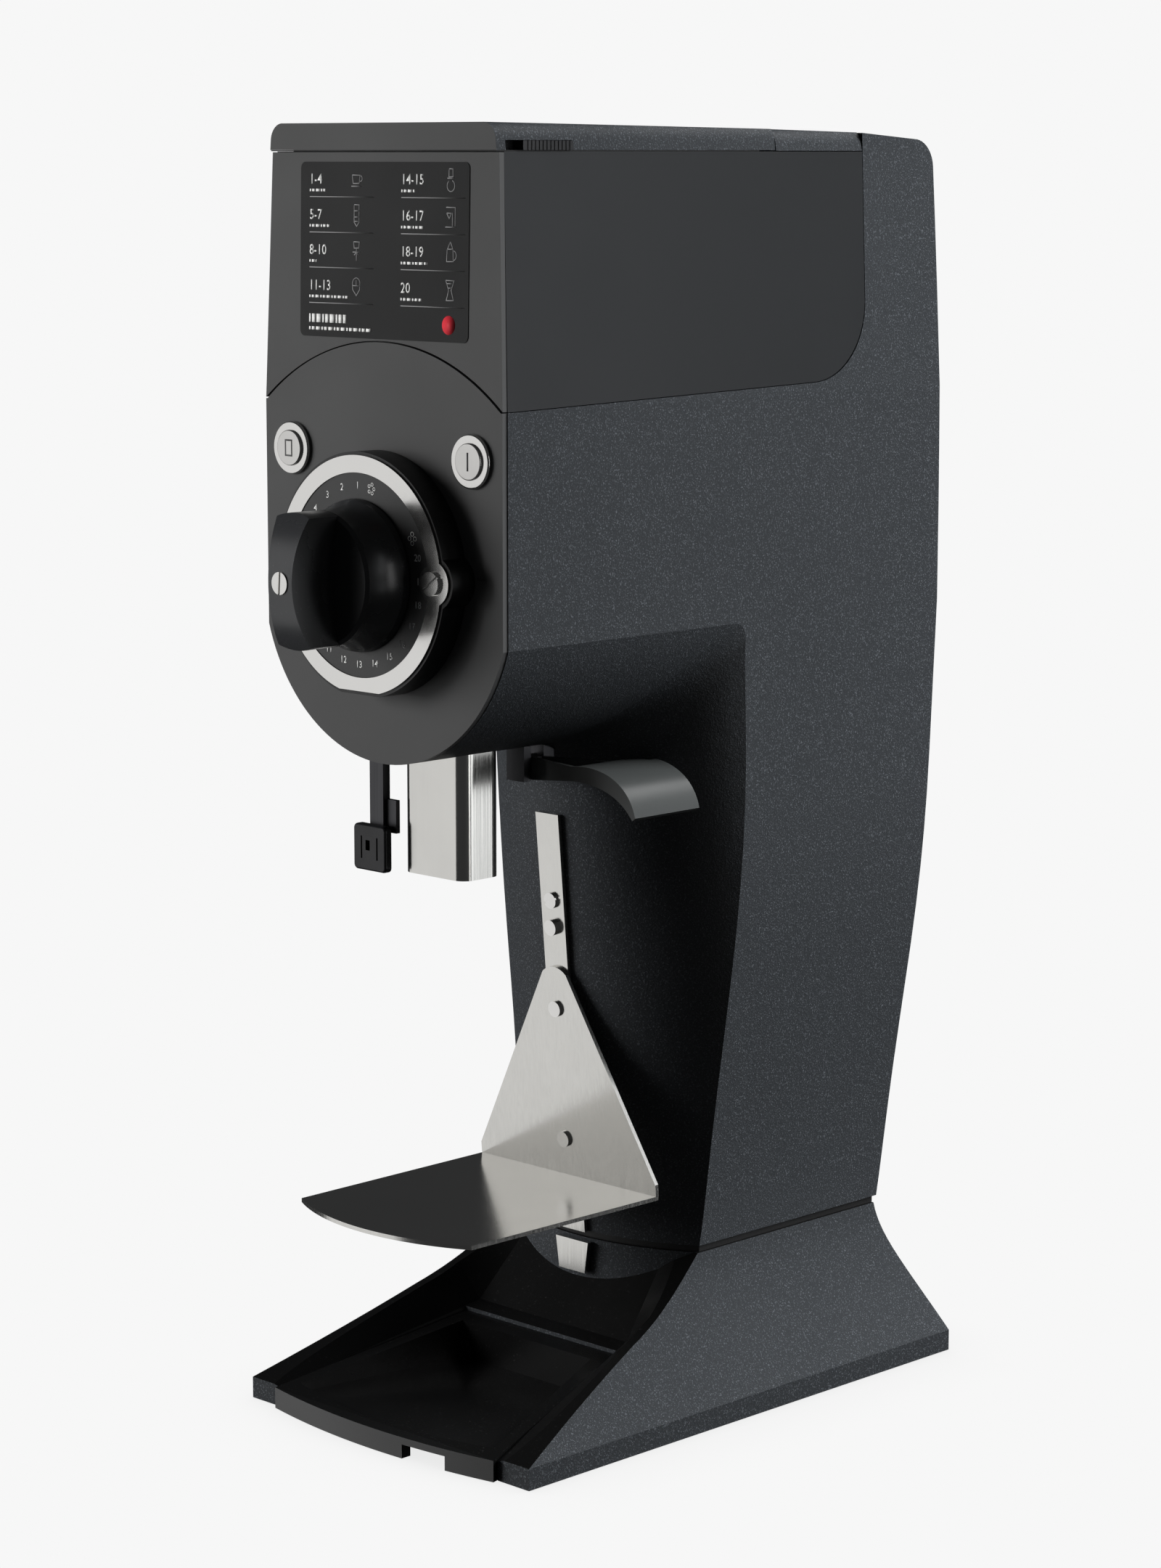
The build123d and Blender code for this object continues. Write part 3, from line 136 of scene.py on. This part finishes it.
# ---- materials ----------------------------------------------------------------------------
def powder_coat(name, base, fleck, roughness=0.5):
    """Fine textured powder coat: orange-peel grain, pale flecks and faint cloudy variation."""
    n = Nodes(name, base, roughness, specular=0.25)
    at = n.coordinates()
    fine = n.noise(at, 1300.0, 2.0)
    coarse = n.noise(at, 480.0, 3.0)
    cloud = n.noise(at, 9.0, 3.0)
    flecks = n.ramp(fine, 0.56, 0.70, 0.0, 1.0)
    colour = n.mix_colour(flecks, base, fleck)
    worn = n.ramp(cloud, 0.3, 0.7, roughness - 0.06, roughness + 0.08)
    normal = n.bump(coarse, 0.30, 0.0005)
    normal = n.bump(fine, 0.55, 0.0003, normal)
    return n.finish(normal, worn, colour)


def satin_paint(name, base, roughness=0.42, specular=0.5):
    """Smooth satin paint with a faint orange peel and slightly handled patches."""
    n = Nodes(name, base, roughness, specular=specular)
    at = n.coordinates()
    peel = n.noise(at, 260.0, 2.0)
    cloud = n.noise(at, 14.0, 4.0)
    handled = n.ramp(cloud, 0.35, 0.7, roughness - 0.03, roughness + 0.05)
    tone = n.ramp(cloud, 0.3, 0.75, 0.0, 1.0)
    colour = n.mix_colour(tone, base, tuple(c * 1.06 for c in base))
    return n.finish(n.bump(peel, 0.08, 0.0003), handled, colour)


def gloss_black(name, base, roughness=0.16, peel_strength=0.06, specular=0.5):
    """Polished black plastic or enamel with slight ripple, dust and dulled patches."""
    n = Nodes(name, base, roughness, specular=specular)
    at = n.coordinates()
    ripple = n.noise(at, 90.0, 2.0)
    smudge = n.noise(at, 30.0, 5.0)
    dust = n.noise(at, 900.0, 1.0)
    dulled = n.ramp(smudge, 0.35, 0.75, roughness, roughness + 0.1)
    specks = n.ramp(dust, 0.68, 0.75, 0.0, 1.0)
    colour = n.mix_colour(specks, base, tuple(c + 0.015 for c in base))
    return n.finish(n.bump(ripple, peel_strength, 0.0005), dulled, colour)


def brushed_metal(name, base, roughness, direction, streak=0.12):
    """Brushed metal; direction is the axis the brush lines run along."""
    n = Nodes(name, base, roughness, metallic=1.0)
    stretch = [1500.0, 1500.0, 1500.0]
    stretch["xyz".index(direction)] = 14.0
    at = n.coordinates(tuple(stretch))
    lines = n.noise(at, 1.0, 3.0, 0.6)
    cloud = n.noise(n.coordinates(), 22.0, 4.0)
    rough = n.ramp(lines, 0.3, 0.7, roughness - streak * 0.5, roughness + streak * 0.5)
    tone = n.ramp(cloud, 0.3, 0.7, 0.0, 1.0)
    colour = n.mix_colour(tone, tuple(c * 0.95 for c in base), base)
    return n.finish(n.bump(lines, 0.06, 0.00012), rough, colour)


def polished_metal(name, base, roughness=0.12):
    """Plated or polished metal with hairline marks."""
    n = Nodes(name, base, roughness, metallic=1.0)
    marks = n.noise(n.coordinates((60.0, 60.0, 900.0)), 1.0, 5.0, 0.7)
    smudge = n.noise(n.coordinates(), 60.0, 3.0)
    rough = n.ramp(smudge, 0.3, 0.7, roughness - 0.03, roughness + 0.06)
    return n.finish(n.bump(marks, 0.03, 0.0001), rough)


def moulded_plastic(name, base, roughness=0.5):
    """Matte moulded plastic or rubber with spark-eroded grain."""
    n = Nodes(name, base, roughness)
    at = n.coordinates()
    grain = n.noise(at, 1100.0, 2.0)
    cloud = n.noise(at, 25.0, 3.0)
    rough = n.ramp(cloud, 0.3, 0.7, roughness - 0.06, roughness + 0.08)
    tone = n.ramp(grain, 0.35, 0.75, 0.0, 1.0)
    colour = n.mix_colour(tone, base, tuple(c * 1.2 + 0.001 for c in base))
    return n.finish(n.bump(grain, 0.2, 0.0002), rough, colour)


def print_ink(name, base):
    """Screen-printed ink with slightly uneven coverage."""
    n = Nodes(name, base, 0.45)
    cover = n.ramp(n.noise(n.coordinates(), 2500.0, 2.0), 0.35, 0.65, 0.0, 1.0)
    rough = n.ramp(n.noise(n.coordinates(), 300.0, 2.0), 0.3, 0.7, 0.4, 0.5)
    colour = n.mix_colour(cover, tuple(c * 0.85 for c in base), base)
    return n.finish(None, rough, colour)


MATERIALS = {
    "casting": powder_coat("casting", (0.029, 0.0315, 0.0345), (0.098, 0.106, 0.116)),
    "hopper_side": satin_paint("hopper_side", (0.014, 0.0148, 0.0158), 0.33, 0.36),
    "front_panel": satin_paint("front_panel", (0.060, 0.060, 0.060), 0.46),
    "lever_grey": satin_paint("lever_grey", (0.045, 0.048, 0.047), 0.34),
    "base_gloss": gloss_black("base_gloss", (0.004, 0.004, 0.004), 0.34, 0.05, 0.35),
    "tray": gloss_black("tray", (0.004, 0.004, 0.004), 0.2, 0.03, 0.35),
    "black_plastic": moulded_plastic("black_plastic", (0.008, 0.008, 0.009), 0.38),
    "knob_black": gloss_black("knob_black", (0.030, 0.031, 0.033), 0.24, 0.03),
    "dial_black": gloss_black("dial_black", (0.010, 0.010, 0.010), 0.3, 0.03),
    "dial_plate": satin_paint("dial_plate", (0.035, 0.035, 0.035), 0.4),
    "label": satin_paint("label", (0.007, 0.007, 0.007), 0.42, 0.38),
    "rubber": moulded_plastic("rubber", (0.02, 0.02, 0.02), 0.7),
    "gasket": moulded_plastic("gasket", (0.010, 0.010, 0.010), 0.55),
    "stainless": brushed_metal("stainless", (0.74, 0.73, 0.70), 0.18, "z"),
    "satin_steel": polished_metal("satin_steel", (0.74, 0.73, 0.71), 0.26),
    "steel": brushed_metal("steel", (0.45, 0.45, 0.46), 0.32, "x"),
    "dark_steel": brushed_metal("dark_steel", (0.09, 0.09, 0.095), 0.4, "z"),
    "burr_steel": brushed_metal("burr_steel", (0.35, 0.35, 0.36), 0.3, "x"),
    "chrome": polished_metal("chrome", (0.80, 0.79, 0.77), 0.14),
    "machined": brushed_metal("machined", (0.6, 0.6, 0.6), 0.35, "y"),
    "lamination": brushed_metal("lamination", (0.18, 0.18, 0.19), 0.5, "x"),
    "copper": brushed_metal("copper", (0.62, 0.30, 0.16), 0.35, "y"),
    "white_plastic": moulded_plastic("white_plastic", (0.7, 0.69, 0.65), 0.45),
}
INK = print_ink("pale_ink", (0.85, 0.85, 0.83))
INK_DIM = print_ink("dim_ink", (0.25, 0.25, 0.25))
INK_RED = print_ink("red_ink", (0.62, 0.035, 0.05))
INK_DARK = print_ink("dark_ink", (0.10, 0.10, 0.10))

NODE_SLOT = {row["node"]: row["material_slot"] for row in frame["record"]["subparts"]}


# ---- piece helpers ------------------------------------------------------------------------
def collect(name, target, material, body, smooth_angle=35.0):
    """Turns a bmesh into a piece that rides on a CAD body."""
    mesh = bpy.data.meshes.new(name)
    target.to_mesh(mesh)
    target.free()
    piece = bpy.data.objects.new(name, mesh)
    bpy.context.scene.collection.objects.link(piece)
    mesh.materials.append(material)
    for polygon in mesh.polygons:
        polygon.use_smooth = True
    mesh.set_sharp_from_angle(angle=math.radians(smooth_angle))
    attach(piece, body)
    return piece


def printed(name, target, material, body):
    """A flat printed layer, given the thickness of ink."""
    piece = collect(name, target, material, body)
    layer = piece.modifiers.new("ink", "SOLIDIFY")
    layer.thickness = INK_T
    layer.offset = -1.0
    return piece


def bevel(piece, width, segments=2, angle=40.0):
    made = piece.modifiers.new("edge", "BEVEL")
    made.width = width
    made.segments = segments
    made.limit_method = "ANGLE"
    made.angle_limit = math.radians(angle)
    made.harden_normals = True
    return made


def add_text(target, text, size, matrix, weight=0.0, align="CENTER"):
    """Adds a flat line of text in the XY plane of a matrix."""
    curve = bpy.data.curves.new("text", "FONT")
    curve.body = text
    curve.size = size
    curve.align_x = align
    curve.align_y = "CENTER"
    curve.offset = weight
    curve.resolution_u = 3
    holder = bpy.data.objects.new("text", curve)
    bpy.context.scene.collection.objects.link(holder)
    bpy.context.view_layer.update()
    mesh = bpy.data.meshes.new_from_object(holder)
    bpy.data.objects.remove(holder)
    mesh.transform(matrix)
    target.from_mesh(mesh)
    bpy.data.meshes.remove(mesh)


def add_line(target, points, matrix, width, closed=False):
    """Adds a flat mitred line of even width through 2-D points."""
    flat = [Vector(p) for p in points]
    count = len(flat)
    left, right = [], []
    for i, here in enumerate(flat):
        before = flat[i - 1] if i or closed else None
        after = flat[(i + 1) % count] if i + 1 < count or closed else None
        ways = [(b - a).normalized() for a, b in ((before, here), (here, after))
                if a is not None and b is not None]
        along = sum(ways, Vector((0.0, 0.0))).normalized()
        side = Vector((-along.y, along.x))
        reach = width * 0.5 / max(0.4, side.dot(Vector((-ways[0].y, ways[0].x))))
        left.append(target.verts.new(matrix @ (here + side * reach).to_3d()))
        right.append(target.verts.new(matrix @ (here - side * reach).to_3d()))
    for i in range(count if closed else count - 1):
        j = (i + 1) % count
        target.faces.new([right[i], right[j], left[j], left[i]])


def add_box(target, low, high):
    """Adds a box between two opposite corners in millimetres."""
    for vertex in bmesh.ops.create_cube(target, size=1.0)["verts"]:
        corner = [(high if side > 0.0 else low)[i] * MM for i, side in enumerate(vertex.co)]
        vertex.co = corner


def add_fill(target, points, matrix):
    target.faces.new([target.verts.new(matrix @ Vector(p).to_3d()) for p in points])


def arc(centre, radius, start, end, steps):
    """Points on an arc, angles in degrees."""
    turns = [math.radians(start + (end - start) * i / steps) for i in range(steps + 1)]
    return [(centre[0] + radius * math.cos(t), centre[1] + radius * math.sin(t)) for t in turns]


# local X stays world X, local Y becomes world Z, and the face looks towards -Y
FRONT = Matrix.Rotation(math.radians(90.0), 4, "X")
INK_T = 0.00006
MM = 0.001

# ---- CAD nodes that stay ------------------------------------------------------------------
BEVEL_MM = {
    "housing_casting": 0.9, "hopper_shell": 0.7, "base_casting": 0.5, "front_plate": 0.35,
    "hopper_front_panel": 0.35, "hopper_lid": 0.8, "hopper_bridge": 0.8, "grounds_tray": 0.6,
    "dial_housing": 0.8, "dial_trim": 0.3, "grind_knob": 0.7, "bag_shelf": 0.35,
    "spout_chute": 0.25, "bag_lever": 0.7, "knocker_arm": 0.4, "support_rail": 0.3,
    "rail_foot": 0.3, "rear_cover": 0.4, "power_inlet": 0.5, "power_switch": 0.4,
    "dial_screws": 0.25, "rail_screws": 0.3, "shelf_studs": 0.4, "knob_screw": 0.25,
}
# degrees between two faces from which their edge stays sharp
CREASE = {"housing_casting": 13.0, "hopper_shell": 15.0}
PLAIN_CREASE = 28.0
TRAY_FRONT_DEPTH = 0.022
LID_FRONT_DEPTH = 0.004


def dress_cad():
    """Gives each CAD node its material, its creases and rounded edges."""
    for name, node in frame["nodes"].items():
        crease = CREASE.get(name, PLAIN_CREASE)
        node.data.materials.clear()
        node.data.materials.append(MATERIALS[NODE_SLOT[name]])
        for polygon in node.data.polygons:
            polygon.use_smooth = True
        node.data.set_sharp_from_angle(angle=math.radians(crease))
        if name in BEVEL_MM:
            bevel(node, BEVEL_MM[name] * MM, 3, crease)


def plain_front(name, depth):
    """Smooth satin grey on the front faces of a node, down to a depth behind its foremost point;
    the smooth finish is real, its lighter grey is painted light from the front.
    """
    mesh = frame["nodes"][name].data
    front = min(vertex.co.y for vertex in mesh.vertices)
    mesh.materials.append(MATERIALS["front_panel"])
    for polygon in mesh.polygons:
        if polygon.normal.y < -0.6 and polygon.center.y < front + depth:
            polygon.material_index = 1


def two_tone_base():
    """Powder coat on the outside of the base, gloss enamel where the valley slopes in."""
    mesh = frame["nodes"]["base_casting"].data
    mesh.materials.append(MATERIALS["casting"])
    for polygon in mesh.polygons:
        way = polygon.normal
        outer_side = way.x * polygon.center.x > 0.0 and abs(way.x) > 0.2
        if outer_side or way.y > 0.5 or way.y < -0.9:
            polygon.material_index = 1


dress_cad()
two_tone_base()
# forward faces of the tray and the lid get a lighter grey: painted front light on a smooth finish
plain_front("grounds_tray", TRAY_FRONT_DEPTH)
plain_front("hopper_lid", LID_FRONT_DEPTH)

# ---- dial and button printing -------------------------------------------------------------
KNOB_JOINT = next(j for j in frame["record"]["behaviour"]["joints"] if j["name"] == "grind_adjust")
AXIS_X, _, AXIS_Z = KNOB_JOINT["pos_m"]
NUMBER_R = 0.0415
DIAL_FACE_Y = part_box("dial_face")[0][1]
FIRST_NUMBER_AT = 90.0
NUMBER_STEP = 15.0


def on_dial(angle):
    """Matrix of a spot on the dial ring, upright, just proud of its face."""
    turn = math.radians(angle)
    spot = (AXIS_X + NUMBER_R * math.cos(turn), DIAL_FACE_Y - INK_T,
            AXIS_Z + NUMBER_R * math.sin(turn))
    return Matrix.Translation(spot) @ FRONT


def dial_numbers():
    ink = bmesh.new()
    for number in range(1, 21):
        add_text(ink, str(number), 0.0046, on_dial(FIRST_NUMBER_AT + NUMBER_STEP * (number - 1)),
                 0.00004)
    return printed("dial_numbers", ink, INK, "housing")


def bean_marks():
    """Small rings that show finer at one end of the scale and coarser at the other."""
    ink = bmesh.new()
    for angle, radius, count in ((77.0, 0.00075, 5), (28.0, 0.0010, 4)):
        for i in range(count):
            around = 2.0 * math.pi * i / count
            centre = (0.0018 * math.cos(around), 0.0021 * math.sin(around))
            add_line(ink, arc(centre, radius, 0.0, 324.0, 9), on_dial(angle), 0.00032, True)
    return printed("bean_marks", ink, INK, "housing")


def button_marks():
    """An outlined square on the stop button and an upright bar on the start button."""
    for side in ("stop", "start"):
        low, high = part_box(side + "_button_cap")
        spot = ((low[0] + high[0]) / 2.0, low[1] - INK_T, (low[2] + high[2]) / 2.0)
        place = Matrix.Translation(spot) @ FRONT
        ink = bmesh.new()
        if side == "stop":
            add_line(ink, [(-0.0022, -0.0036), (0.0022, -0.0036), (0.0022, 0.0036),
                           (-0.0022, 0.0036)], place, 0.0008, True)
        else:
            add_line(ink, [(0.0, -0.0042), (0.0, 0.0042)], place, 0.0011)
        printed(side + "_mark", ink, INK_DARK, side + "_button")


dial_numbers()
bean_marks()
button_marks()

# ---- dark strip in the lid gap: painted shade ---------------------------------------------
GAP_SHADE_OUTER_X = 76.2
GAP_SHADE_INNER_X = 71.5
GAP_SHADE_FRONT_Y = -120.9
GAP_SHADE_INNER_Y = -114.0
GAP_SHADE_BACK_Y = 52.0
GAP_SHADE_LOW_Z = 613.06
GAP_SHADE_HIGH_Z = 613.54


def lid_seal():
    """Thin dark strip that closes the gap between the lid and the hopper's rim: painted shade for
    the dark of the closed gap.
    """
    shade_strip = bmesh.new()
    # dark strips along the lid's rim stand in for the shade inside the gap
    add_box(shade_strip, (-GAP_SHADE_OUTER_X, GAP_SHADE_FRONT_Y, GAP_SHADE_LOW_Z),
            (GAP_SHADE_OUTER_X, GAP_SHADE_INNER_Y, GAP_SHADE_HIGH_Z))
    add_box(shade_strip, (-GAP_SHADE_OUTER_X, GAP_SHADE_INNER_Y, GAP_SHADE_LOW_Z),
            (-GAP_SHADE_INNER_X, GAP_SHADE_BACK_Y, GAP_SHADE_HIGH_Z))
    add_box(shade_strip, (GAP_SHADE_INNER_X, GAP_SHADE_INNER_Y, GAP_SHADE_LOW_Z),
            (GAP_SHADE_OUTER_X, GAP_SHADE_BACK_Y, GAP_SHADE_HIGH_Z))
    return collect("lid_seal", shade_strip, MATERIALS["gasket"], "lid")


lid_seal()

# ---- grind chart --------------------------------------------------------------------------
CHART_LOW, CHART_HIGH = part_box("grind_chart")
CHART_LEAN = math.atan2(CHART_HIGH[1] - CHART_LOW[1] - 0.0003, CHART_HIGH[2] - CHART_LOW[2])
CHART_ROWS = (592.3, 576.0, 559.8, 543.4)
CHART_COLUMNS = ((-49.7, -5.4, -17.0), (13.2, 55.3, 46.0))
CHART_RANGES = (("1-4", "5-7", "8-10", "11-13"), ("14-15", "16-17", "18-19", "20"))
SMALL_PRINT = ((11.0, 14.0, 5.0, 27.0), (9.5, 15.0, 17.5, 14.0))


def on_chart(x, z):
    """Matrix of a spot on the leaning chart, x and z in millimetres."""
    place = Matrix.Translation((0.0, CHART_LOW[1] - INK_T, CHART_LOW[2]))
    lean = Matrix.Rotation(-CHART_LEAN, 4, "X")
    spot = Matrix.Translation((x * MM, 0.0, z * MM - CHART_LOW[2]))
    return place @ lean @ spot @ FRONT


def small_print(ink, x, z, length, height, word):
    """A row of unreadable dashes that stands for small lettering."""
    at = 0.0
    step = 0
    while at < length:
        dash = min(word * (0.6 + 0.4 * (step % 3)), length - at)
        add_line(ink, [((at) * MM, 0.0), ((at + dash) * MM, 0.0)], on_chart(x, z), height * MM)
        at += dash + 0.5
        step += 1


def chart_icons():
    """Line drawings of brewing gear in a 10 mm tall box, one for each range."""
    cup = [[(-3.2, 2.2), (-2.6, -1.6), (1.6, -1.6), (2.2, 2.2), (-3.2, 2.2)],
           arc((2.4, 0.6), 1.3, 80.0, -100.0, 6), [(-3.8, -2.9), (3.0, -2.9)]]
    press = [[(-1.7, 5.0), (1.7, 5.0), (1.7, -3.0), (0.0, -4.9), (-1.7, -3.0), (-1.7, 5.0)],
             [(-1.7, 2.2), (1.7, 2.2)], [(-1.7, -0.6), (1.7, -0.6)], [(-1.7, -2.6), (1.7, -2.6)]]
    syphon = [[(-2.0, 4.3), (2.0, 4.3), (1.6, 1.4), (-1.6, 1.4), (-2.0, 4.3)],
              [(-2.6, -0.4), (2.6, -0.4)], [(0.0, 1.4), (0.0, -4.4)],
              [(-1.6, -1.8), (0.0, -0.5), (1.6, -1.8)]]
    filter_cone = [arc((0.0, 1.6), 2.6, 0.0, 180.0, 10), [(-2.6, 1.6), (-2.4, -1.2), (0.0, -4.0),
                                                         (2.4, -1.2), (2.6, 1.6)],
                   [(-2.5, 0.6), (2.5, 0.6)], [(0.0, 0.6), (0.0, 3.2)]]
    bulb = [[(-1.2, 5.2), (1.2, 5.2), (1.4, 1.6), (-1.4, 1.6), (-1.2, 5.2)],
            [(-2.4, 1.0), (2.4, 1.0)], arc((0.0, -2.4), 2.5, 70.0, -250.0, 14)]
    machine = [[(-3.0, 4.4), (3.0, 4.4), (3.0, -4.0)], [(-2.6, 1.8), (0.6, 1.8), (-1.0, -0.6),
                                                        (-2.6, 1.8)],
               [(1.2, 2.0), (1.2, -4.0)], [(-3.4, -4.4), (3.4, -4.4)]]
    pot = [[(0.0, 5.2), (-1.8, 2.0), (1.8, 2.0), (0.0, 5.2)], [(-2.0, 2.0), (-2.4, -3.6),
                                                               (2.0, -3.6), (1.8, 2.0)],
           arc((1.8, -0.9), 2.2, 75.0, -75.0, 8)]
    carafe = [[(-2.8, 4.4), (2.8, 4.4), (0.8, 0.0), (2.4, -4.6), (-2.4, -4.6), (-0.8, 0.0),
               (-2.8, 4.4)], [(-1.2, 1.0), (1.2, 1.0)], [(-2.0, 3.0), (2.0, 3.0)]]
    return ((cup, press, syphon, filter_cone), (bulb, machine, pot, carafe))


def chart_print():
    rules, figures, icons = bmesh.new(), bmesh.new(), bmesh.new()
    drawings = chart_icons()
    for column, (left, right, icon_x) in enumerate(CHART_COLUMNS):
        for row, rule_z in enumerate(CHART_ROWS):
            add_line(rules, [(0.0, 0.0), ((right - left) * MM, 0.0)], on_chart(left, rule_z),
                     0.42 * MM)
            add_text(figures, CHART_RANGES[column][row], 6.6 * MM, on_chart(left, rule_z + 8.0),
                     0.00006, "LEFT")
            small_print(figures, left, rule_z + 3.0, SMALL_PRINT[column][row], 1.2, 2.1)
            for line in drawings[column][row]:
                scaled = [(x * MM, z * MM) for x, z in line]
                add_line(icons, scaled, on_chart(icon_x, rule_z + 7.8), 0.42 * MM)
    small_print(figures, CHART_COLUMNS[0][0], 536.3, 26.0, 3.9, 2.6)
    small_print(figures, CHART_COLUMNS[0][0], 531.6, 43.0, 1.5, 2.4)
    disc = bmesh.new()
    add_fill(disc, [(x * MM, z * MM) for x, z in arc((0.0, 0.0), 4.3, 0.0, 348.75, 31)],
             on_chart(45.3, 535.5))
    printed("chart_rules", rules, INK_DIM, "housing")
    printed("chart_figures", figures, INK, "housing")
    printed("chart_icons", icons, INK_DIM, "housing")
    printed("chart_disc", disc, INK_RED, "housing")


chart_print()

# ---- stage --------------------------------------------------------------------------------
MIDDLE = Vector((0.0, 0.03, 0.31))


def studio():
    """Even white towards the camera, and almost no light of its own on the object."""
    world = bpy.data.worlds.new("studio")
    bpy.context.scene.world = world
    world.use_nodes = True
    tree = world.node_tree
    seen = tree.nodes.new("ShaderNodeBackground")
    seen.inputs["Color"].default_value = (0.93, 0.93, 0.93, 1.0)
    soft = tree.nodes["Background"]
    soft.inputs["Color"].default_value = (0.95, 0.97, 1.0, 1.0)
    soft.inputs["Strength"].default_value = 0.035
    path = tree.nodes.new("ShaderNodeLightPath")
    mix = tree.nodes.new("ShaderNodeMixShader")
    tree.links.new(path.outputs["Is Camera Ray"], mix.inputs[0])
    tree.links.new(soft.outputs[0], mix.inputs[1])
    tree.links.new(seen.outputs[0], mix.inputs[2])
    tree.links.new(mix.outputs[0], tree.nodes["World Output"].inputs["Surface"])


def softbox(name, azimuth, elevation, size, radiance, use="both", colour=(1.0, 1.0, 1.0),
            distance=2.6):
    """A rectangular light; azimuth 0 is straight ahead of the front and 90 is on the right."""
    turn, rise = math.radians(azimuth), math.radians(elevation)
    way = Vector((math.sin(turn) * math.cos(rise), -math.cos(turn) * math.cos(rise),
                  math.sin(rise)))
    data = bpy.data.lights.new(name, "AREA")
    data.shape = "RECTANGLE"
    data.size = size[0]
    data.size_y = size[1]
    data.energy = math.pi * size[0] * size[1] * radiance
    data.color = colour
    lamp = bpy.data.objects.new(name, data)
    bpy.context.scene.collection.objects.link(lamp)
    lamp.location = MIDDLE + way * distance
    lamp.rotation_mode = "QUATERNION"
    lamp.rotation_quaternion = (-way).to_track_quat("-Z", "Y")
    lamp.visible_diffuse = use != "gloss"
    lamp.visible_glossy = use != "diffuse"
    return lamp


def floor():
    """Pale seamless floor with a painted contact shadow: its glow is a little darker only where the
    object stands close to it.
    """
    reach = 30.0
    mesh = bpy.data.meshes.new("floor")
    mesh.from_pydata([(-reach, -reach, 0), (reach, -reach, 0), (reach, reach, 0),
                      (-reach, reach, 0)], [], [(0, 1, 2, 3)])
    piece = bpy.data.objects.new("floor", mesh)
    bpy.context.scene.collection.objects.link(piece)
    material = bpy.data.materials.new("floor")
    material.use_nodes = True
    tree = material.node_tree
    tree.nodes.remove(tree.nodes["Principled BSDF"])
    # painted contact shadow: ambient occlusion dims the floor's glow near the object
    contact_shadow_ao = tree.nodes.new("ShaderNodeAmbientOcclusion")
    contact_shadow_ao.inputs["Distance"].default_value = 0.05
    shade = tree.nodes.new("ShaderNodeMapRange")
    shade.inputs["To Min"].default_value = 0.80
    shade.inputs["To Max"].default_value = 0.93
    glow = tree.nodes.new("ShaderNodeEmission")
    tree.links.new(contact_shadow_ao.outputs["AO"], shade.inputs["Value"])
    tree.links.new(shade.outputs["Result"], glow.inputs["Strength"])
    tree.links.new(glow.outputs[0], tree.nodes["Material Output"].inputs["Surface"])
    mesh.materials.append(material)
    piece.visible_diffuse = False
    piece.visible_glossy = False
    piece.visible_shadow = False


studio()
floor()
softbox("front_key", -50.0, 10.0, (1.3, 1.0), 20.0, "diffuse")
softbox("front_sheen", -47.0, -4.0, (2.3, 2.4), 0.75, "gloss")
softbox("side_key", 153.0, 22.0, (1.0, 1.4), 45.0, "diffuse", (0.96, 0.98, 1.0))
softbox("side_sheen", 121.0, 10.0, (1.25, 2.4), 1.3, "gloss", (0.96, 0.98, 1.0))
softbox("knob_rim", 95.0, 6.0, (0.4, 1.7), 2.4, "gloss")
softbox("back_top", 160.0, 48.0, (1.6, 1.0), 3.2)

bpy.context.scene.view_settings.view_transform = "Standard"
